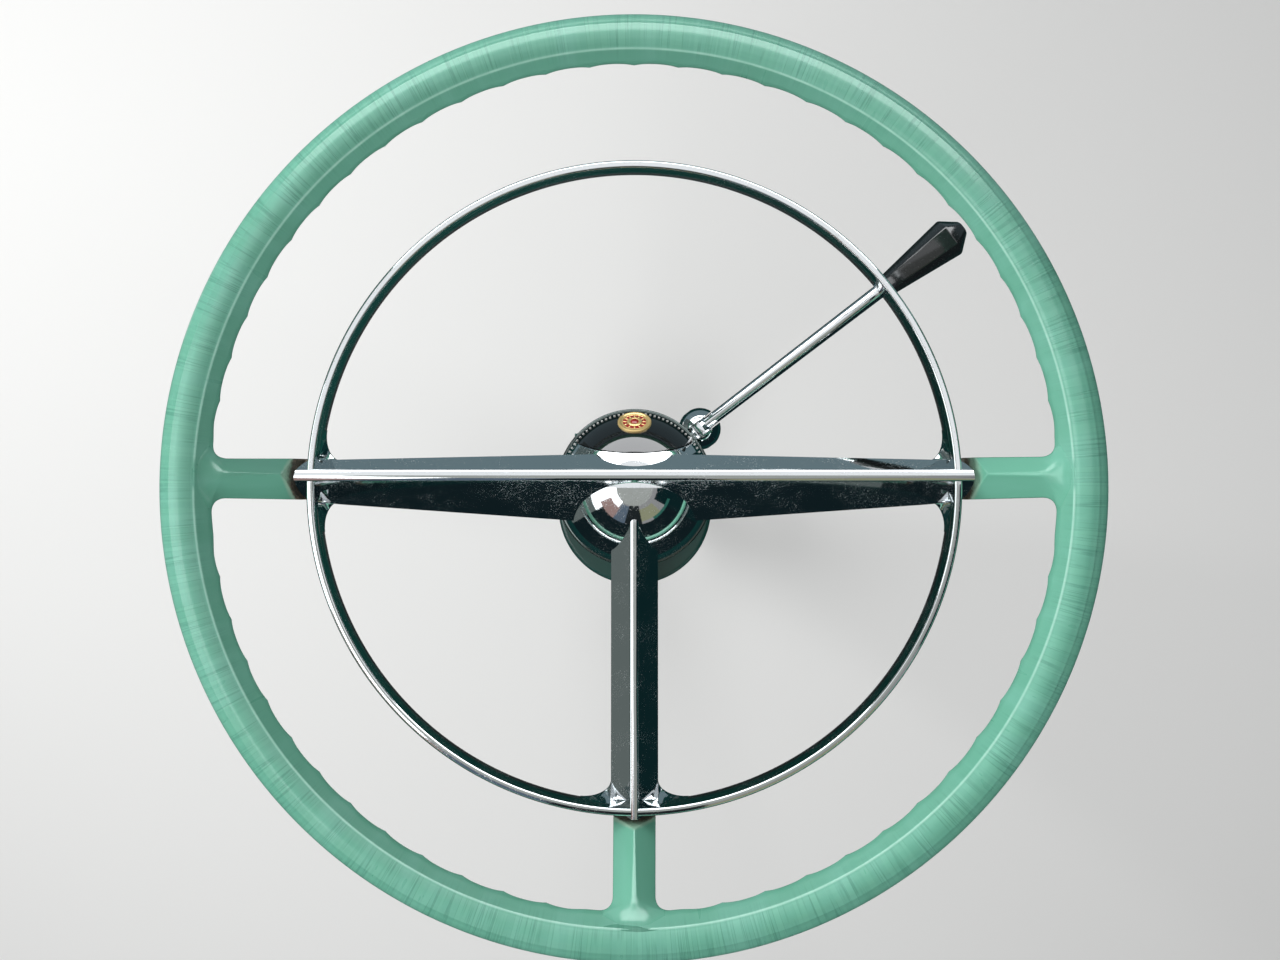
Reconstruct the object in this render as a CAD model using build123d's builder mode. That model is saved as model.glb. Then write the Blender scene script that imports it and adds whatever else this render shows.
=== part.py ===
from build123d import *
import math
import os

# Steering wheel and column of a large saloon car of the 1950s, in millimetres.
# The origin is the centre of the lower flange's underside. +Z runs up the column to the
# driver, +Y is twelve o'clock on the wheel and +X is the driver's right.

os.makedirs("parts", exist_ok=True)

# Clearances
FIT_GAP = 0.05
SEAT_GAP = 0.3
SWEEP_GAP = 5.0
BUSH_GAP = 0.15

# Steering shaft
SHAFT_RADIUS = 9.5
SHAFT_FOOT_Z = 2.0
SOCKET_BORE_RADIUS = 8.0
SOCKET_DEPTH = 22.0
SOCKET_WALL = 5.0
SOCKET_FLOOR = 8.0

# Column jacket
JACKET_RADIUS = 25.4
JACKET_WALL = 2.5
JACKET_TOP_Z = 798.0
BEARING_HEIGHT = 11.0
LOWER_BEARING_Z = 38.0

# Flange on the steering gear
FLANGE_RADIUS = 52.0
FLANGE_THICKNESS = 6.0
FLANGE_BOLT_CIRCLE = 84.0
FLANGE_BOLT_COUNT = 4
FLANGE_BOLT_RADIUS = 4.5
FLANGE_SLEEVE_WALL = 4.5
FLANGE_SLEEVE_HEIGHT = 28.0

# Toe board plate and its rubber seal
TOE_Z = 168.0
TOE_LENGTH = 150.0
TOE_WIDTH = 120.0
TOE_THICKNESS = 3.0
TOE_HOLE_RADIUS = 31.0
TOE_BOLT_SPACING_X = 124.0
TOE_BOLT_SPACING_Y = 94.0
TOE_BOLT_RADIUS = 3.5
TOE_CORNER = 12.0
SEAL_RADIUS = 42.0
SEAL_TOP_RADIUS = 29.0
SEAL_HEIGHT = 24.0
SEAL_FOLDS = 3
SEAL_FOLD_DEPTH = 3.0

# Bracket under the dashboard
BRACKET_Z = 545.0
BRACKET_HEIGHT = 30.0
BRACKET_WALL = 5.0
BRACKET_EAR_REACH = 50.0
BRACKET_EAR_THICKNESS = 6.0
BRACKET_SPLIT = 0.5
BRACKET_PAD_Y = 42.0
BRACKET_PAD_THICKNESS = 6.0
BRACKET_WEB_X = 21.0
BRACKET_WEB_WIDTH = 7.0
BRACKET_BOLT_SPACING = 80.0
BRACKET_BOLT_RADIUS = 4.5
STRAP_WALL = 4.0
CLAMP_BOLT_X = 41.0
CLAMP_BOLT_RADIUS = 4.0
CLAMP_HEAD_RADIUS = 7.0
CLAMP_HEAD_HEIGHT = 5.0

# Gear selector
BOWL_HEIGHT = 32.0
BOWL_RADIUS = 40.0
BOWL_BOSS_RADIUS = 11.0
BOWL_BOSS_HEIGHT = 20.0
BOWL_BOSS_REACH = 44.0
SELECTOR_ANGLE = 42.0
SELECTOR_RANGE = 45.0
KNUCKLE_REACH = 52.0
KNUCKLE_RADIUS = 12.5
KNUCKLE_SLOT = 8.4
KNUCKLE_PIN_RADIUS = 2.5
LEVER_PLAN_ANGLE = 37.4
LEVER_RISE_ANGLE = 13.0
LEVER_LENGTH = 184.5
LEVER_ROOT_RADIUS = 3.5
LEVER_TIP_RADIUS = 4.1
LEVER_EYE_RADIUS = 6.0
KNOB_LENGTH = 54.0
KNOB_ROOT_WIDTH = 10.5
KNOB_END_WIDTH = 20.0
KNOB_CROWN = 8.5
KNOB_CROWN_WIDTH = 7.0
TUBE_RADIUS = 17.0
TUBE_WALL = 2.0
TUBE_FOOT_Z = 56.0
TUBE_HEAD = 4.0
KEY_WIDTH = 10.0
KEY_HEIGHT = 12.0
KEY_REACH = 31.0
LOWER_LEVER_Z = 68.0
LOWER_LEVER_THICKNESS = 5.0
LOWER_LEVER_WIDTH = 14.0
LOWER_LEVER_REACH = 66.0
LOWER_LEVER_ANGLE = -67.5
ROD_HOLE_RADIUS = 4.0

# Turn signal housing and lever
HOUSING_RADIUS = 43.0
HOUSING_OFFSET_Y = -11.5
HOUSING_HEIGHT = 17.0
HOUSING_ROUND = 2.5
HOUSING_ROOF = 8.0
SIGNAL_PIVOT_X = -50.0
SIGNAL_Y = 3.0
SIGNAL_LUG_RADIUS = 7.0
SIGNAL_LUG_THICKNESS = 4.0
SIGNAL_EYE_RADIUS = 6.5
SIGNAL_PIN_RADIUS = 2.5
SIGNAL_ROD_RADIUS = 3.4
SIGNAL_ROD_LENGTH = 98.0
SIGNAL_KNOB_LENGTH = 26.0
SIGNAL_KNOB_RADIUS = 5.0

# Wheel rim
WHEEL_RADIUS = 228.5
RIM_WIDTH = 22.5
RIM_DEPTH = 27.0
RIM_INNER_DROP = 4.5
WHEEL_DISH = 28.0
RIDGE_INSET = 2.9
RIDGE_RISE = 6.0
RIDGE_ROUND = 1.0
SHOULDER_INSET = 14.3
SHOULDER_RISE = 8.2
SHOULDER_ROUND = 2.0
GRIP_COUNT = 60
GRIP_RADIUS = 30.0
GRIP_DEPTH = 1.3
GRIP_MARGIN = 0.45
GRIP_TILT = 35.0
GRIP_EDGE_INSET = 1.3
GRIP_EDGE_DROP = 8.5

# Hub, spokes and horn bars
DOME_RADIUS = 42.0
DOME_RISE = 29.5
HUB_LIFT = 6.0
DOME_WALL = 2.5
BEZEL_HEIGHT = 2.5
BEZEL_WIDTH = 4.0
HUB_PLATE_THICKNESS = 6.0
HUB_SKIRT_RADIUS = 36.0
HUB_BOSS_RADIUS = 18.0
HUB_BOSS_SINK = 12.5
SPOKE_WIDTH = 18.0
SPOKE_THICKNESS = 7.0
SPOKE_HUB_SINK = 23.0
SPOKE_END_SINK = 16.0
DROP_SPOKE_HUB_SINK = 24.0
DROP_SPOKE_END_SINK = 19.5
NOTCH_GAP = 1.5
BAR_CENTRE_Y = 3.5
BAR_CREST_LIFT = 2.0
BAR_LIP = 2.0
BAR_CREST_Y = 6.6
BAR_CREST_WIDTH = 6.2
BAR_CREST_ROUND = 1.4
BAR_OVERHANG = 6.0
BAR_NOSE = 6.5
BAR_HUB_SPAN = (-20.0, 18.2)
BAR_HUB_DROPS = (24.0, 12.0)
BAR_END_SPAN = (-7.2, 14.4)
BAR_END_DROPS = (12.0, 8.0)
DROP_BAR_WIDTH = 25.0
DROP_BAR_CREST_WIDTH = 4.7
DROP_BAR_HUB_SINK = 3.5
DROP_BAR_END_SINK = 0.5
DROP_BAR_DROP = 15.5
DROP_BAR_OVERHANG = 1.5
RING_RADIUS = 168.5
RING_WALL = 4.0
RING_DEPTH = 13.0
RING_SET = 1.0
WEB_RADIUS = 7.0
WEB_THICKNESS = 2.5
WEB_INSET = 2.0
WEB_REACH = 24.0
SEAM_BASE_Y = 26.1
SEAM_TOP_Y = 17.0
BADGE_RADIUS = 9.0
BADGE_TILT = 52.0
BADGE_DEPTH = 1.5
BADGE_RISE = 1.2

# Plastic stubs between the bars and the rim
STUB_UNDERLAP = 2.5
STUB_WIDTH = 21.4
STUB_CENTRE_Y = 4.8
STUB_CREST_Y = 6.9
STUB_ROOT_SINK = 6.0
STUB_ROOT_DROP = 6.0
STUB_FLOOR_WALL = 3.0
STUB_RIM_RISE = 6.0
STUB_RIM_DROP = 12.0
STUB_ROOF_SLOPE = 1.15
STUB_FLARE = 8.0
LIP_GAP = 0.5
LIP_SLOPE = 80.0
STUB_BURY = 6.0


def polar(radius, angle):
    """Point at a radius and an angle in degrees from +X."""
    return (radius * math.cos(math.radians(angle)), radius * math.sin(math.radians(angle)))


def pie(radius, start, end):
    """Sector of a circle between two angles, under half a turn."""
    with BuildSketch() as sector:
        with BuildLine():
            Polyline(polar(radius, start), (0, 0), polar(radius, end))
            ThreePointArc(polar(radius, start), polar(radius, (start + end) / 2), polar(radius, end))
        make_face()
    return sector.sketch


# Values worked out from the driving dimensions
jacket_bore = JACKET_RADIUS - JACKET_WALL
housing_top_z = JACKET_TOP_Z + HOUSING_ROOF
housing_foot_z = housing_top_z - HOUSING_HEIGHT
bowl_z = housing_foot_z - SWEEP_GAP - BOWL_HEIGHT
knuckle_z = bowl_z + BOWL_BOSS_HEIGHT
hub_foot_z = housing_top_z + HUB_LIFT
bezel_foot_z = hub_foot_z + HUB_PLATE_THICKNESS
dome_base_z = bezel_foot_z + BEZEL_HEIGHT
dome_apex_z = dome_base_z + DOME_RISE
dome_sphere = (DOME_RADIUS**2 + DOME_RISE**2) / (2 * DOME_RISE)
dome_centre_z = dome_apex_z - dome_sphere
bar_crest_z = dome_apex_z + BAR_CREST_LIFT
drop_hub_crest_z = dome_apex_z - DROP_BAR_HUB_SINK
drop_end_crest_z = bar_crest_z - DROP_BAR_END_SINK
boss_top_z = bar_crest_z - HUB_BOSS_SINK
spoke_hub_z = bar_crest_z - SPOKE_HUB_SINK
spoke_end_z = bar_crest_z - SPOKE_END_SINK
drop_spoke_hub_z = bar_crest_z - DROP_SPOKE_HUB_SINK
drop_spoke_end_z = bar_crest_z - DROP_SPOKE_END_SINK
bar_reach = RING_RADIUS + BAR_OVERHANG
drop_bar_reach = RING_RADIUS + DROP_BAR_OVERHANG
stub_root_x = RING_RADIUS - STUB_UNDERLAP
ring_front_z = bar_crest_z - RING_SET
rim_plane_z = bar_crest_z + WHEEL_DISH
rim_inner = WHEEL_RADIUS - RIM_WIDTH
tube_bore = TUBE_RADIUS - TUBE_WALL
knuckle_point = Vector(*polar(KNUCKLE_REACH, SELECTOR_ANGLE), knuckle_z)
lever_plan = polar(math.cos(math.radians(LEVER_RISE_ANGLE)), LEVER_PLAN_ANGLE)
lever_direction = Vector(*lever_plan, math.sin(math.radians(LEVER_RISE_ANGLE)))
lever_side = Vector(*polar(1, LEVER_PLAN_ANGLE + 90), 0)


def side_plane(y):
    """Plane facing twelve o'clock at the dashboard bracket's middle, with x along +X."""
    return Plane(origin=(0, y, BRACKET_Z + BRACKET_HEIGHT / 2), x_dir=(1, 0, 0), z_dir=(0, 1, 0))


def lever_plane(distance):
    """Plane across the lever, a distance along it from the knuckle."""
    return Plane(origin=knuckle_point + lever_direction * distance, x_dir=lever_side, z_dir=lever_direction)


def dome_profile(inset):
    """Half section of the hub dome, inset from its outer surface."""
    sphere = dome_sphere - inset
    base = math.sqrt(sphere**2 - (dome_base_z - dome_centre_z) ** 2)
    middle = polar(sphere, (90 + math.degrees(math.atan2(dome_base_z - dome_centre_z, base))) / 2)
    with BuildSketch() as half:
        with BuildLine():
            ThreePointArc(
                (base, dome_base_z),
                (middle[0], dome_centre_z + middle[1]),
                (0, dome_centre_z + sphere),
            )
            Polyline((0, dome_centre_z + sphere), (0, dome_base_z), (base, dome_base_z))
        make_face()
    return half.sketch


notch_reach = DOME_RADIUS + SWEEP_GAP
seam_slope = math.atan2(DOME_RISE, SEAM_BASE_Y - SEAM_TOP_Y)
seam_plane = Plane(
    origin=(0, SEAM_BASE_Y, dome_base_z),
    x_dir=(1, 0, 0),
    z_dir=(0, math.sin(seam_slope), math.cos(seam_slope)),
)

# Steering shaft, with a female socket at its foot
with BuildPart() as steering_shaft:
    with BuildSketch(Plane.XY.offset(SHAFT_FOOT_Z)):
        Circle(SHAFT_RADIUS)
    extrude(amount=boss_top_z - SHAFT_FOOT_Z)
    with BuildSketch(Plane.XY.offset(SHAFT_FOOT_Z)):
        Circle(SOCKET_BORE_RADIUS + SOCKET_WALL)
    extrude(amount=SOCKET_DEPTH + SOCKET_FLOOR)
    with BuildSketch(Plane.XY.offset(SHAFT_FOOT_Z)):
        Circle(SOCKET_BORE_RADIUS)
    extrude(amount=SOCKET_DEPTH, mode=Mode.SUBTRACT)
steering_shaft.part.label = "steering_shaft"

# Flange with the sleeve that holds the jacket
flange_hole = SOCKET_BORE_RADIUS + SOCKET_WALL + SWEEP_GAP
with BuildPart() as gear_flange:
    with BuildSketch(Plane.XY):
        Circle(FLANGE_RADIUS)
        Circle(flange_hole, mode=Mode.SUBTRACT)
        with PolarLocations(FLANGE_BOLT_CIRCLE / 2, FLANGE_BOLT_COUNT, start_angle=45):
            Circle(FLANGE_BOLT_RADIUS, mode=Mode.SUBTRACT)
    extrude(amount=FLANGE_THICKNESS)
    with BuildSketch(Plane.XY.offset(FLANGE_THICKNESS)):
        Circle(JACKET_RADIUS + FIT_GAP + FLANGE_SLEEVE_WALL)
        Circle(JACKET_RADIUS + FIT_GAP, mode=Mode.SUBTRACT)
    extrude(amount=FLANGE_SLEEVE_HEIGHT)
gear_flange.part.label = "gear_flange"

# Jacket tube, with windows for the selector's key and lower lever
key_sweep = math.degrees(math.atan2(KEY_WIDTH / 2 + SWEEP_GAP, jacket_bore))
arm_sweep = math.degrees(math.atan2(LOWER_LEVER_WIDTH / 2 + SWEEP_GAP, jacket_bore))
key_z = knuckle_z - KEY_HEIGHT
tube_top_z = key_z + KEY_HEIGHT + TUBE_HEAD
with BuildPart() as mast_jacket:
    with BuildSketch(Plane.XY.offset(FLANGE_THICKNESS)):
        Circle(JACKET_RADIUS)
        Circle(jacket_bore, mode=Mode.SUBTRACT)
    extrude(amount=JACKET_TOP_Z - FLANGE_THICKNESS)
    with BuildSketch(Plane.XY.offset(key_z - SWEEP_GAP)):
        add(pie(JACKET_RADIUS * 2, SELECTOR_ANGLE - SELECTOR_RANGE - key_sweep, SELECTOR_ANGLE + key_sweep))
    extrude(amount=KEY_HEIGHT + 2 * SWEEP_GAP, mode=Mode.SUBTRACT)
    with BuildSketch(Plane.XY.offset(LOWER_LEVER_Z - SWEEP_GAP)):
        add(pie(JACKET_RADIUS * 2, LOWER_LEVER_ANGLE - SELECTOR_RANGE - arm_sweep,
                LOWER_LEVER_ANGLE + arm_sweep))
    extrude(amount=LOWER_LEVER_THICKNESS + 2 * SWEEP_GAP, mode=Mode.SUBTRACT)
mast_jacket.part.label = "mast_jacket"

# Bushes that centre the shaft in the jacket
with BuildPart() as lower_bearing:
    with BuildSketch(Plane.XY.offset(LOWER_BEARING_Z)):
        Circle(jacket_bore - BUSH_GAP)
        Circle(SHAFT_RADIUS + FIT_GAP, mode=Mode.SUBTRACT)
    extrude(amount=BEARING_HEIGHT)
lower_bearing.part.label = "lower_bearing"

with BuildPart() as upper_bearing:
    with BuildSketch(Plane.XY.offset(JACKET_TOP_Z - BEARING_HEIGHT)):
        Circle(jacket_bore - BUSH_GAP)
        Circle(SHAFT_RADIUS + FIT_GAP, mode=Mode.SUBTRACT)
    extrude(amount=BEARING_HEIGHT)
upper_bearing.part.label = "upper_bearing"

# Toe board plate
with BuildPart() as toe_plate:
    with BuildSketch(Plane.XY.offset(TOE_Z)):
        RectangleRounded(TOE_LENGTH, TOE_WIDTH, TOE_CORNER)
        Circle(TOE_HOLE_RADIUS, mode=Mode.SUBTRACT)
        with GridLocations(TOE_BOLT_SPACING_X, TOE_BOLT_SPACING_Y, 2, 2):
            Circle(TOE_BOLT_RADIUS, mode=Mode.SUBTRACT)
    extrude(amount=TOE_THICKNESS)
toe_plate.part.label = "toe_plate"

# Bellows seal between the jacket and the toe board plate
seal_foot_z = TOE_Z + TOE_THICKNESS
fold_height = SEAL_HEIGHT / SEAL_FOLDS
fold_step = (SEAL_RADIUS - SEAL_TOP_RADIUS) / SEAL_FOLDS
with BuildPart() as floor_seal:
    with BuildSketch(Plane.XZ):
        with BuildLine():
            Polyline(
                (SEAL_TOP_RADIUS, seal_foot_z + SEAL_HEIGHT),
                (JACKET_RADIUS + SEAT_GAP, seal_foot_z + SEAL_HEIGHT),
                (JACKET_RADIUS + SEAT_GAP, seal_foot_z),
                (SEAL_RADIUS, seal_foot_z),
            )
            for fold in range(SEAL_FOLDS):
                fold_z = seal_foot_z + fold * fold_height
                fold_radius = SEAL_RADIUS - fold * fold_step
                Polyline(
                    (fold_radius, fold_z),
                    (fold_radius, fold_z + fold_height / 2),
                    (fold_radius - fold_step - SEAL_FOLD_DEPTH / 2, fold_z + fold_height * 3 / 4),
                    (fold_radius - fold_step, fold_z + fold_height),
                )
        make_face()
    revolve(axis=Axis.Z)
floor_seal.part.label = "floor_seal"

# Saddle of the dashboard bracket, above the split
saddle_radius = JACKET_RADIUS + FIT_GAP + BRACKET_WALL
with BuildPart() as dash_bracket:
    with BuildSketch(Plane.XY.offset(BRACKET_Z)):
        Circle(saddle_radius)
        with Locations((0, BRACKET_SPLIT + BRACKET_EAR_THICKNESS / 2)):
            Rectangle(2 * BRACKET_EAR_REACH, BRACKET_EAR_THICKNESS)
        with Locations((0, BRACKET_PAD_Y - BRACKET_PAD_THICKNESS / 2)):
            Rectangle(2 * BRACKET_EAR_REACH, BRACKET_PAD_THICKNESS)
        with Locations((-BRACKET_WEB_X, BRACKET_PAD_Y / 2), (BRACKET_WEB_X, BRACKET_PAD_Y / 2)):
            Rectangle(BRACKET_WEB_WIDTH, BRACKET_PAD_Y)
        Circle(JACKET_RADIUS + FIT_GAP, mode=Mode.SUBTRACT)
        with Locations((0, BRACKET_SPLIT - BRACKET_PAD_Y / 2)):
            Rectangle(4 * BRACKET_EAR_REACH, BRACKET_PAD_Y, mode=Mode.SUBTRACT)
    extrude(amount=BRACKET_HEIGHT)
    with Locations(side_plane(BRACKET_PAD_Y)):
        with GridLocations(BRACKET_BOLT_SPACING, 1, 2, 1):
            Hole(BRACKET_BOLT_RADIUS, depth=BRACKET_PAD_THICKNESS)
    with Locations(side_plane(BRACKET_SPLIT + BRACKET_EAR_THICKNESS)):
        with GridLocations(2 * CLAMP_BOLT_X, 1, 2, 1):
            Hole(CLAMP_BOLT_RADIUS + FIT_GAP, depth=BRACKET_EAR_THICKNESS)
dash_bracket.part.label = "dash_bracket"

# Strap of the dashboard bracket, below the split
with BuildPart() as dash_strap:
    with BuildSketch(Plane.XY.offset(BRACKET_Z)):
        Circle(JACKET_RADIUS + FIT_GAP + STRAP_WALL)
        with Locations((0, -BRACKET_SPLIT - STRAP_WALL / 2)):
            Rectangle(2 * BRACKET_EAR_REACH, STRAP_WALL)
        Circle(JACKET_RADIUS + FIT_GAP, mode=Mode.SUBTRACT)
        with Locations((0, BRACKET_PAD_Y / 2 - BRACKET_SPLIT)):
            Rectangle(4 * BRACKET_EAR_REACH, BRACKET_PAD_Y, mode=Mode.SUBTRACT)
    extrude(amount=BRACKET_HEIGHT)
    with Locations(side_plane(-BRACKET_SPLIT)):
        with GridLocations(2 * CLAMP_BOLT_X, 1, 2, 1):
            Hole(CLAMP_BOLT_RADIUS + FIT_GAP, depth=STRAP_WALL)
dash_strap.part.label = "dash_strap"

# Bolts through the ears of saddle and strap
clamp_foot_y = -BRACKET_SPLIT - STRAP_WALL - CLAMP_HEAD_HEIGHT
clamp_length = BRACKET_SPLIT + BRACKET_EAR_THICKNESS - clamp_foot_y
with BuildPart() as clamp_bolts:
    with BuildSketch(side_plane(clamp_foot_y)):
        with GridLocations(2 * CLAMP_BOLT_X, 1, 2, 1):
            Circle(CLAMP_BOLT_RADIUS)
    extrude(amount=clamp_length)
    with BuildSketch(side_plane(clamp_foot_y)):
        with GridLocations(2 * CLAMP_BOLT_X, 1, 2, 1):
            RegularPolygon(CLAMP_HEAD_RADIUS, 6)
    extrude(amount=CLAMP_HEAD_HEIGHT)
clamp_bolts.part.label = "clamp_bolts"

# Selector tube inside the jacket, with the key that turns with the bowl
key_plane = Plane(origin=(0, 0, key_z), x_dir=Vector(*polar(1, SELECTOR_ANGLE), 0), z_dir=(0, 0, 1))
with BuildPart() as shift_tube:
    with BuildSketch(Plane.XY.offset(TUBE_FOOT_Z)):
        Circle(TUBE_RADIUS)
    extrude(amount=tube_top_z - TUBE_FOOT_Z)
    with BuildSketch(key_plane):
        with Locations((KEY_REACH / 2, 0)):
            Rectangle(KEY_REACH, KEY_WIDTH)
    extrude(amount=KEY_HEIGHT)
    with BuildSketch(Plane.XY.offset(TUBE_FOOT_Z)):
        Circle(tube_bore)
    extrude(amount=tube_top_z - TUBE_FOOT_Z, mode=Mode.SUBTRACT)
shift_tube.part.label = "shift_tube"

# Lower selector lever, out through the jacket's lower window
arm_direction = Vector(*polar(1, LOWER_LEVER_ANGLE), 0)
arm_plane = Plane(origin=(0, 0, LOWER_LEVER_Z), x_dir=arm_direction, z_dir=(0, 0, 1))
with BuildPart() as lower_lever:
    with BuildSketch(arm_plane):
        with Locations((LOWER_LEVER_REACH / 2, 0)):
            Rectangle(LOWER_LEVER_REACH, LOWER_LEVER_WIDTH)
        with Locations((LOWER_LEVER_REACH, 0)):
            Circle(LOWER_LEVER_WIDTH / 2)
            Circle(ROD_HOLE_RADIUS, mode=Mode.SUBTRACT)
        Circle(TUBE_RADIUS, mode=Mode.SUBTRACT)
    extrude(amount=LOWER_LEVER_THICKNESS)
lower_lever.part.label = "lower_lever"

# Bowl that turns round the jacket's head, with a boss for the lever
with BuildPart() as shift_bowl:
    with BuildSketch(Plane.XY.offset(bowl_z)):
        Circle(BOWL_RADIUS)
    extrude(amount=BOWL_HEIGHT)
    fillet(shift_bowl.edges().group_by(Axis.Z)[0], BOWL_RADIUS / 5)
    with BuildSketch(Plane(origin=(0, 0, knuckle_z), z_dir=Vector(*polar(1, SELECTOR_ANGLE), 0))):
        Circle(BOWL_BOSS_RADIUS)
    extrude(amount=BOWL_BOSS_REACH)
    with BuildSketch(Plane.XY.offset(bowl_z)):
        Circle(JACKET_RADIUS + SEAT_GAP)
    extrude(amount=BOWL_HEIGHT, mode=Mode.SUBTRACT)
    with BuildSketch(key_plane.offset(-SEAT_GAP)):
        with Locations((KEY_REACH / 2 + SEAT_GAP / 2, 0)):
            Rectangle(KEY_REACH + SEAT_GAP, KEY_WIDTH + 2 * SEAT_GAP)
    extrude(amount=KEY_HEIGHT + 2 * SEAT_GAP, mode=Mode.SUBTRACT)
    with Locations(knuckle_point):
        Sphere(KNUCKLE_RADIUS + FIT_GAP, mode=Mode.SUBTRACT)
shift_bowl.part.label = "shift_bowl"

# Round knuckle with the slot that the lever hinges in
with BuildPart() as lever_knuckle:
    with Locations(knuckle_point):
        Sphere(KNUCKLE_RADIUS)
    with BuildSketch(lever_plane(-LEVER_EYE_RADIUS - SEAT_GAP)):
        Rectangle(KNUCKLE_SLOT, 4 * KNUCKLE_RADIUS)
    extrude(amount=2 * KNUCKLE_RADIUS, mode=Mode.SUBTRACT)
    with BuildSketch(Plane(origin=knuckle_point, z_dir=lever_side)):
        Circle(KNUCKLE_PIN_RADIUS + FIT_GAP)
    extrude(amount=KNUCKLE_RADIUS, both=True, mode=Mode.SUBTRACT)
lever_knuckle.part.label = "lever_knuckle"

with BuildPart() as knuckle_pin:
    with BuildSketch(Plane(origin=knuckle_point, z_dir=lever_side)):
        Circle(KNUCKLE_PIN_RADIUS)
    extrude(amount=KNUCKLE_RADIUS - 1, both=True)
knuckle_pin.part.label = "knuckle_pin"

# Lever rod, from its eye in the knuckle to the knob
knob_start = LEVER_LENGTH - KNOB_LENGTH
with BuildPart() as lever_shaft:
    with BuildSketch(Plane(origin=knuckle_point, z_dir=lever_side)):
        Circle(LEVER_EYE_RADIUS)
    extrude(amount=KNUCKLE_SLOT / 2 - SEAT_GAP, both=True)
    with BuildSketch(lever_plane(LEVER_EYE_RADIUS / 2)):
        Circle(LEVER_ROOT_RADIUS)
    with BuildSketch(lever_plane(knob_start)):
        Circle(LEVER_TIP_RADIUS)
    loft()
    with BuildSketch(Plane(origin=knuckle_point, z_dir=lever_side)):
        Circle(KNUCKLE_PIN_RADIUS + FIT_GAP)
    extrude(amount=KNUCKLE_RADIUS, both=True, mode=Mode.SUBTRACT)
lever_shaft.part.label = "lever_shaft"

# Six-sided knob with a pyramid crown
with BuildPart() as lever_knob:
    with BuildSketch(lever_plane(knob_start)):
        RegularPolygon(KNOB_ROOT_WIDTH / 2, 6, major_radius=False)
    with BuildSketch(lever_plane(LEVER_LENGTH - KNOB_CROWN)):
        RegularPolygon(KNOB_END_WIDTH / 2, 6, major_radius=False)
    with BuildSketch(lever_plane(LEVER_LENGTH)):
        RegularPolygon(KNOB_CROWN_WIDTH / 2, 6, major_radius=False)
    loft(ruled=True)
lever_knob.part.label = "lever_knob"

# Fixed housing under the wheel, with the lugs of the turn signal lever
lug_foots = (housing_foot_z, housing_top_z - SIGNAL_LUG_THICKNESS)
with BuildPart() as signal_housing:
    with BuildSketch(Plane.XY.offset(housing_foot_z)):
        with Locations((0, HOUSING_OFFSET_Y)):
            Circle(HOUSING_RADIUS)
    extrude(amount=HOUSING_HEIGHT)
    fillet(signal_housing.edges().group_by(Axis.Z)[-1], HOUSING_ROUND)
    for lug_foot in lug_foots:
        with BuildSketch(Plane.XY.offset(lug_foot)):
            with Locations((SIGNAL_PIVOT_X / 2, SIGNAL_Y)):
                Rectangle(-SIGNAL_PIVOT_X, 2 * SIGNAL_LUG_RADIUS)
            with Locations((SIGNAL_PIVOT_X, SIGNAL_Y)):
                Circle(SIGNAL_LUG_RADIUS)
        extrude(amount=SIGNAL_LUG_THICKNESS)
    with BuildSketch(Plane.XY.offset(housing_foot_z)):
        Circle(JACKET_RADIUS + FIT_GAP)
    extrude(amount=JACKET_TOP_Z - housing_foot_z, mode=Mode.SUBTRACT)
    with BuildSketch(Plane.XY.offset(JACKET_TOP_Z)):
        Circle(SHAFT_RADIUS + SWEEP_GAP)
    extrude(amount=HOUSING_ROOF, mode=Mode.SUBTRACT)
    with BuildSketch(Plane.XY.offset(housing_foot_z)):
        with Locations((SIGNAL_PIVOT_X, SIGNAL_Y)):
            Circle(SIGNAL_PIN_RADIUS + FIT_GAP)
    extrude(amount=housing_top_z - housing_foot_z, mode=Mode.SUBTRACT)
signal_housing.part.label = "signal_housing"

with BuildPart() as signal_pin:
    with BuildSketch(Plane.XY.offset(housing_foot_z)):
        with Locations((SIGNAL_PIVOT_X, SIGNAL_Y)):
            Circle(SIGNAL_PIN_RADIUS)
    extrude(amount=housing_top_z - housing_foot_z)
signal_pin.part.label = "signal_pin"

# Turn signal lever behind the left bar
signal_z = (housing_foot_z + housing_top_z) / 2
signal_tip_x = SIGNAL_PIVOT_X - SIGNAL_ROD_LENGTH
eye_foot_z = housing_foot_z + SIGNAL_LUG_THICKNESS + SEAT_GAP
eye_height = housing_top_z - SIGNAL_LUG_THICKNESS - SEAT_GAP - eye_foot_z
with BuildPart() as signal_lever:
    with BuildSketch(Plane.XY.offset(eye_foot_z)):
        with Locations((SIGNAL_PIVOT_X, SIGNAL_Y)):
            Circle(SIGNAL_EYE_RADIUS)
    extrude(amount=eye_height)
    with BuildSketch(Plane(origin=(SIGNAL_PIVOT_X, SIGNAL_Y, signal_z), z_dir=(-1, 0, 0))):
        Circle(SIGNAL_ROD_RADIUS)
    extrude(amount=SIGNAL_ROD_LENGTH)
    with BuildSketch(Plane.XY.offset(eye_foot_z)):
        with Locations((SIGNAL_PIVOT_X, SIGNAL_Y)):
            Circle(SIGNAL_PIN_RADIUS + FIT_GAP)
    extrude(amount=eye_height, mode=Mode.SUBTRACT)
signal_lever.part.label = "signal_lever"

with BuildPart() as signal_knob:
    with BuildSketch(Plane(origin=(signal_tip_x, SIGNAL_Y, signal_z), z_dir=(-1, 0, 0))):
        Circle(SIGNAL_KNOB_RADIUS)
    extrude(amount=SIGNAL_KNOB_LENGTH)
    fillet(signal_knob.edges().group_by(Axis.X)[0], SIGNAL_KNOB_RADIUS / 2)
signal_knob.part.label = "signal_knob"

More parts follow.
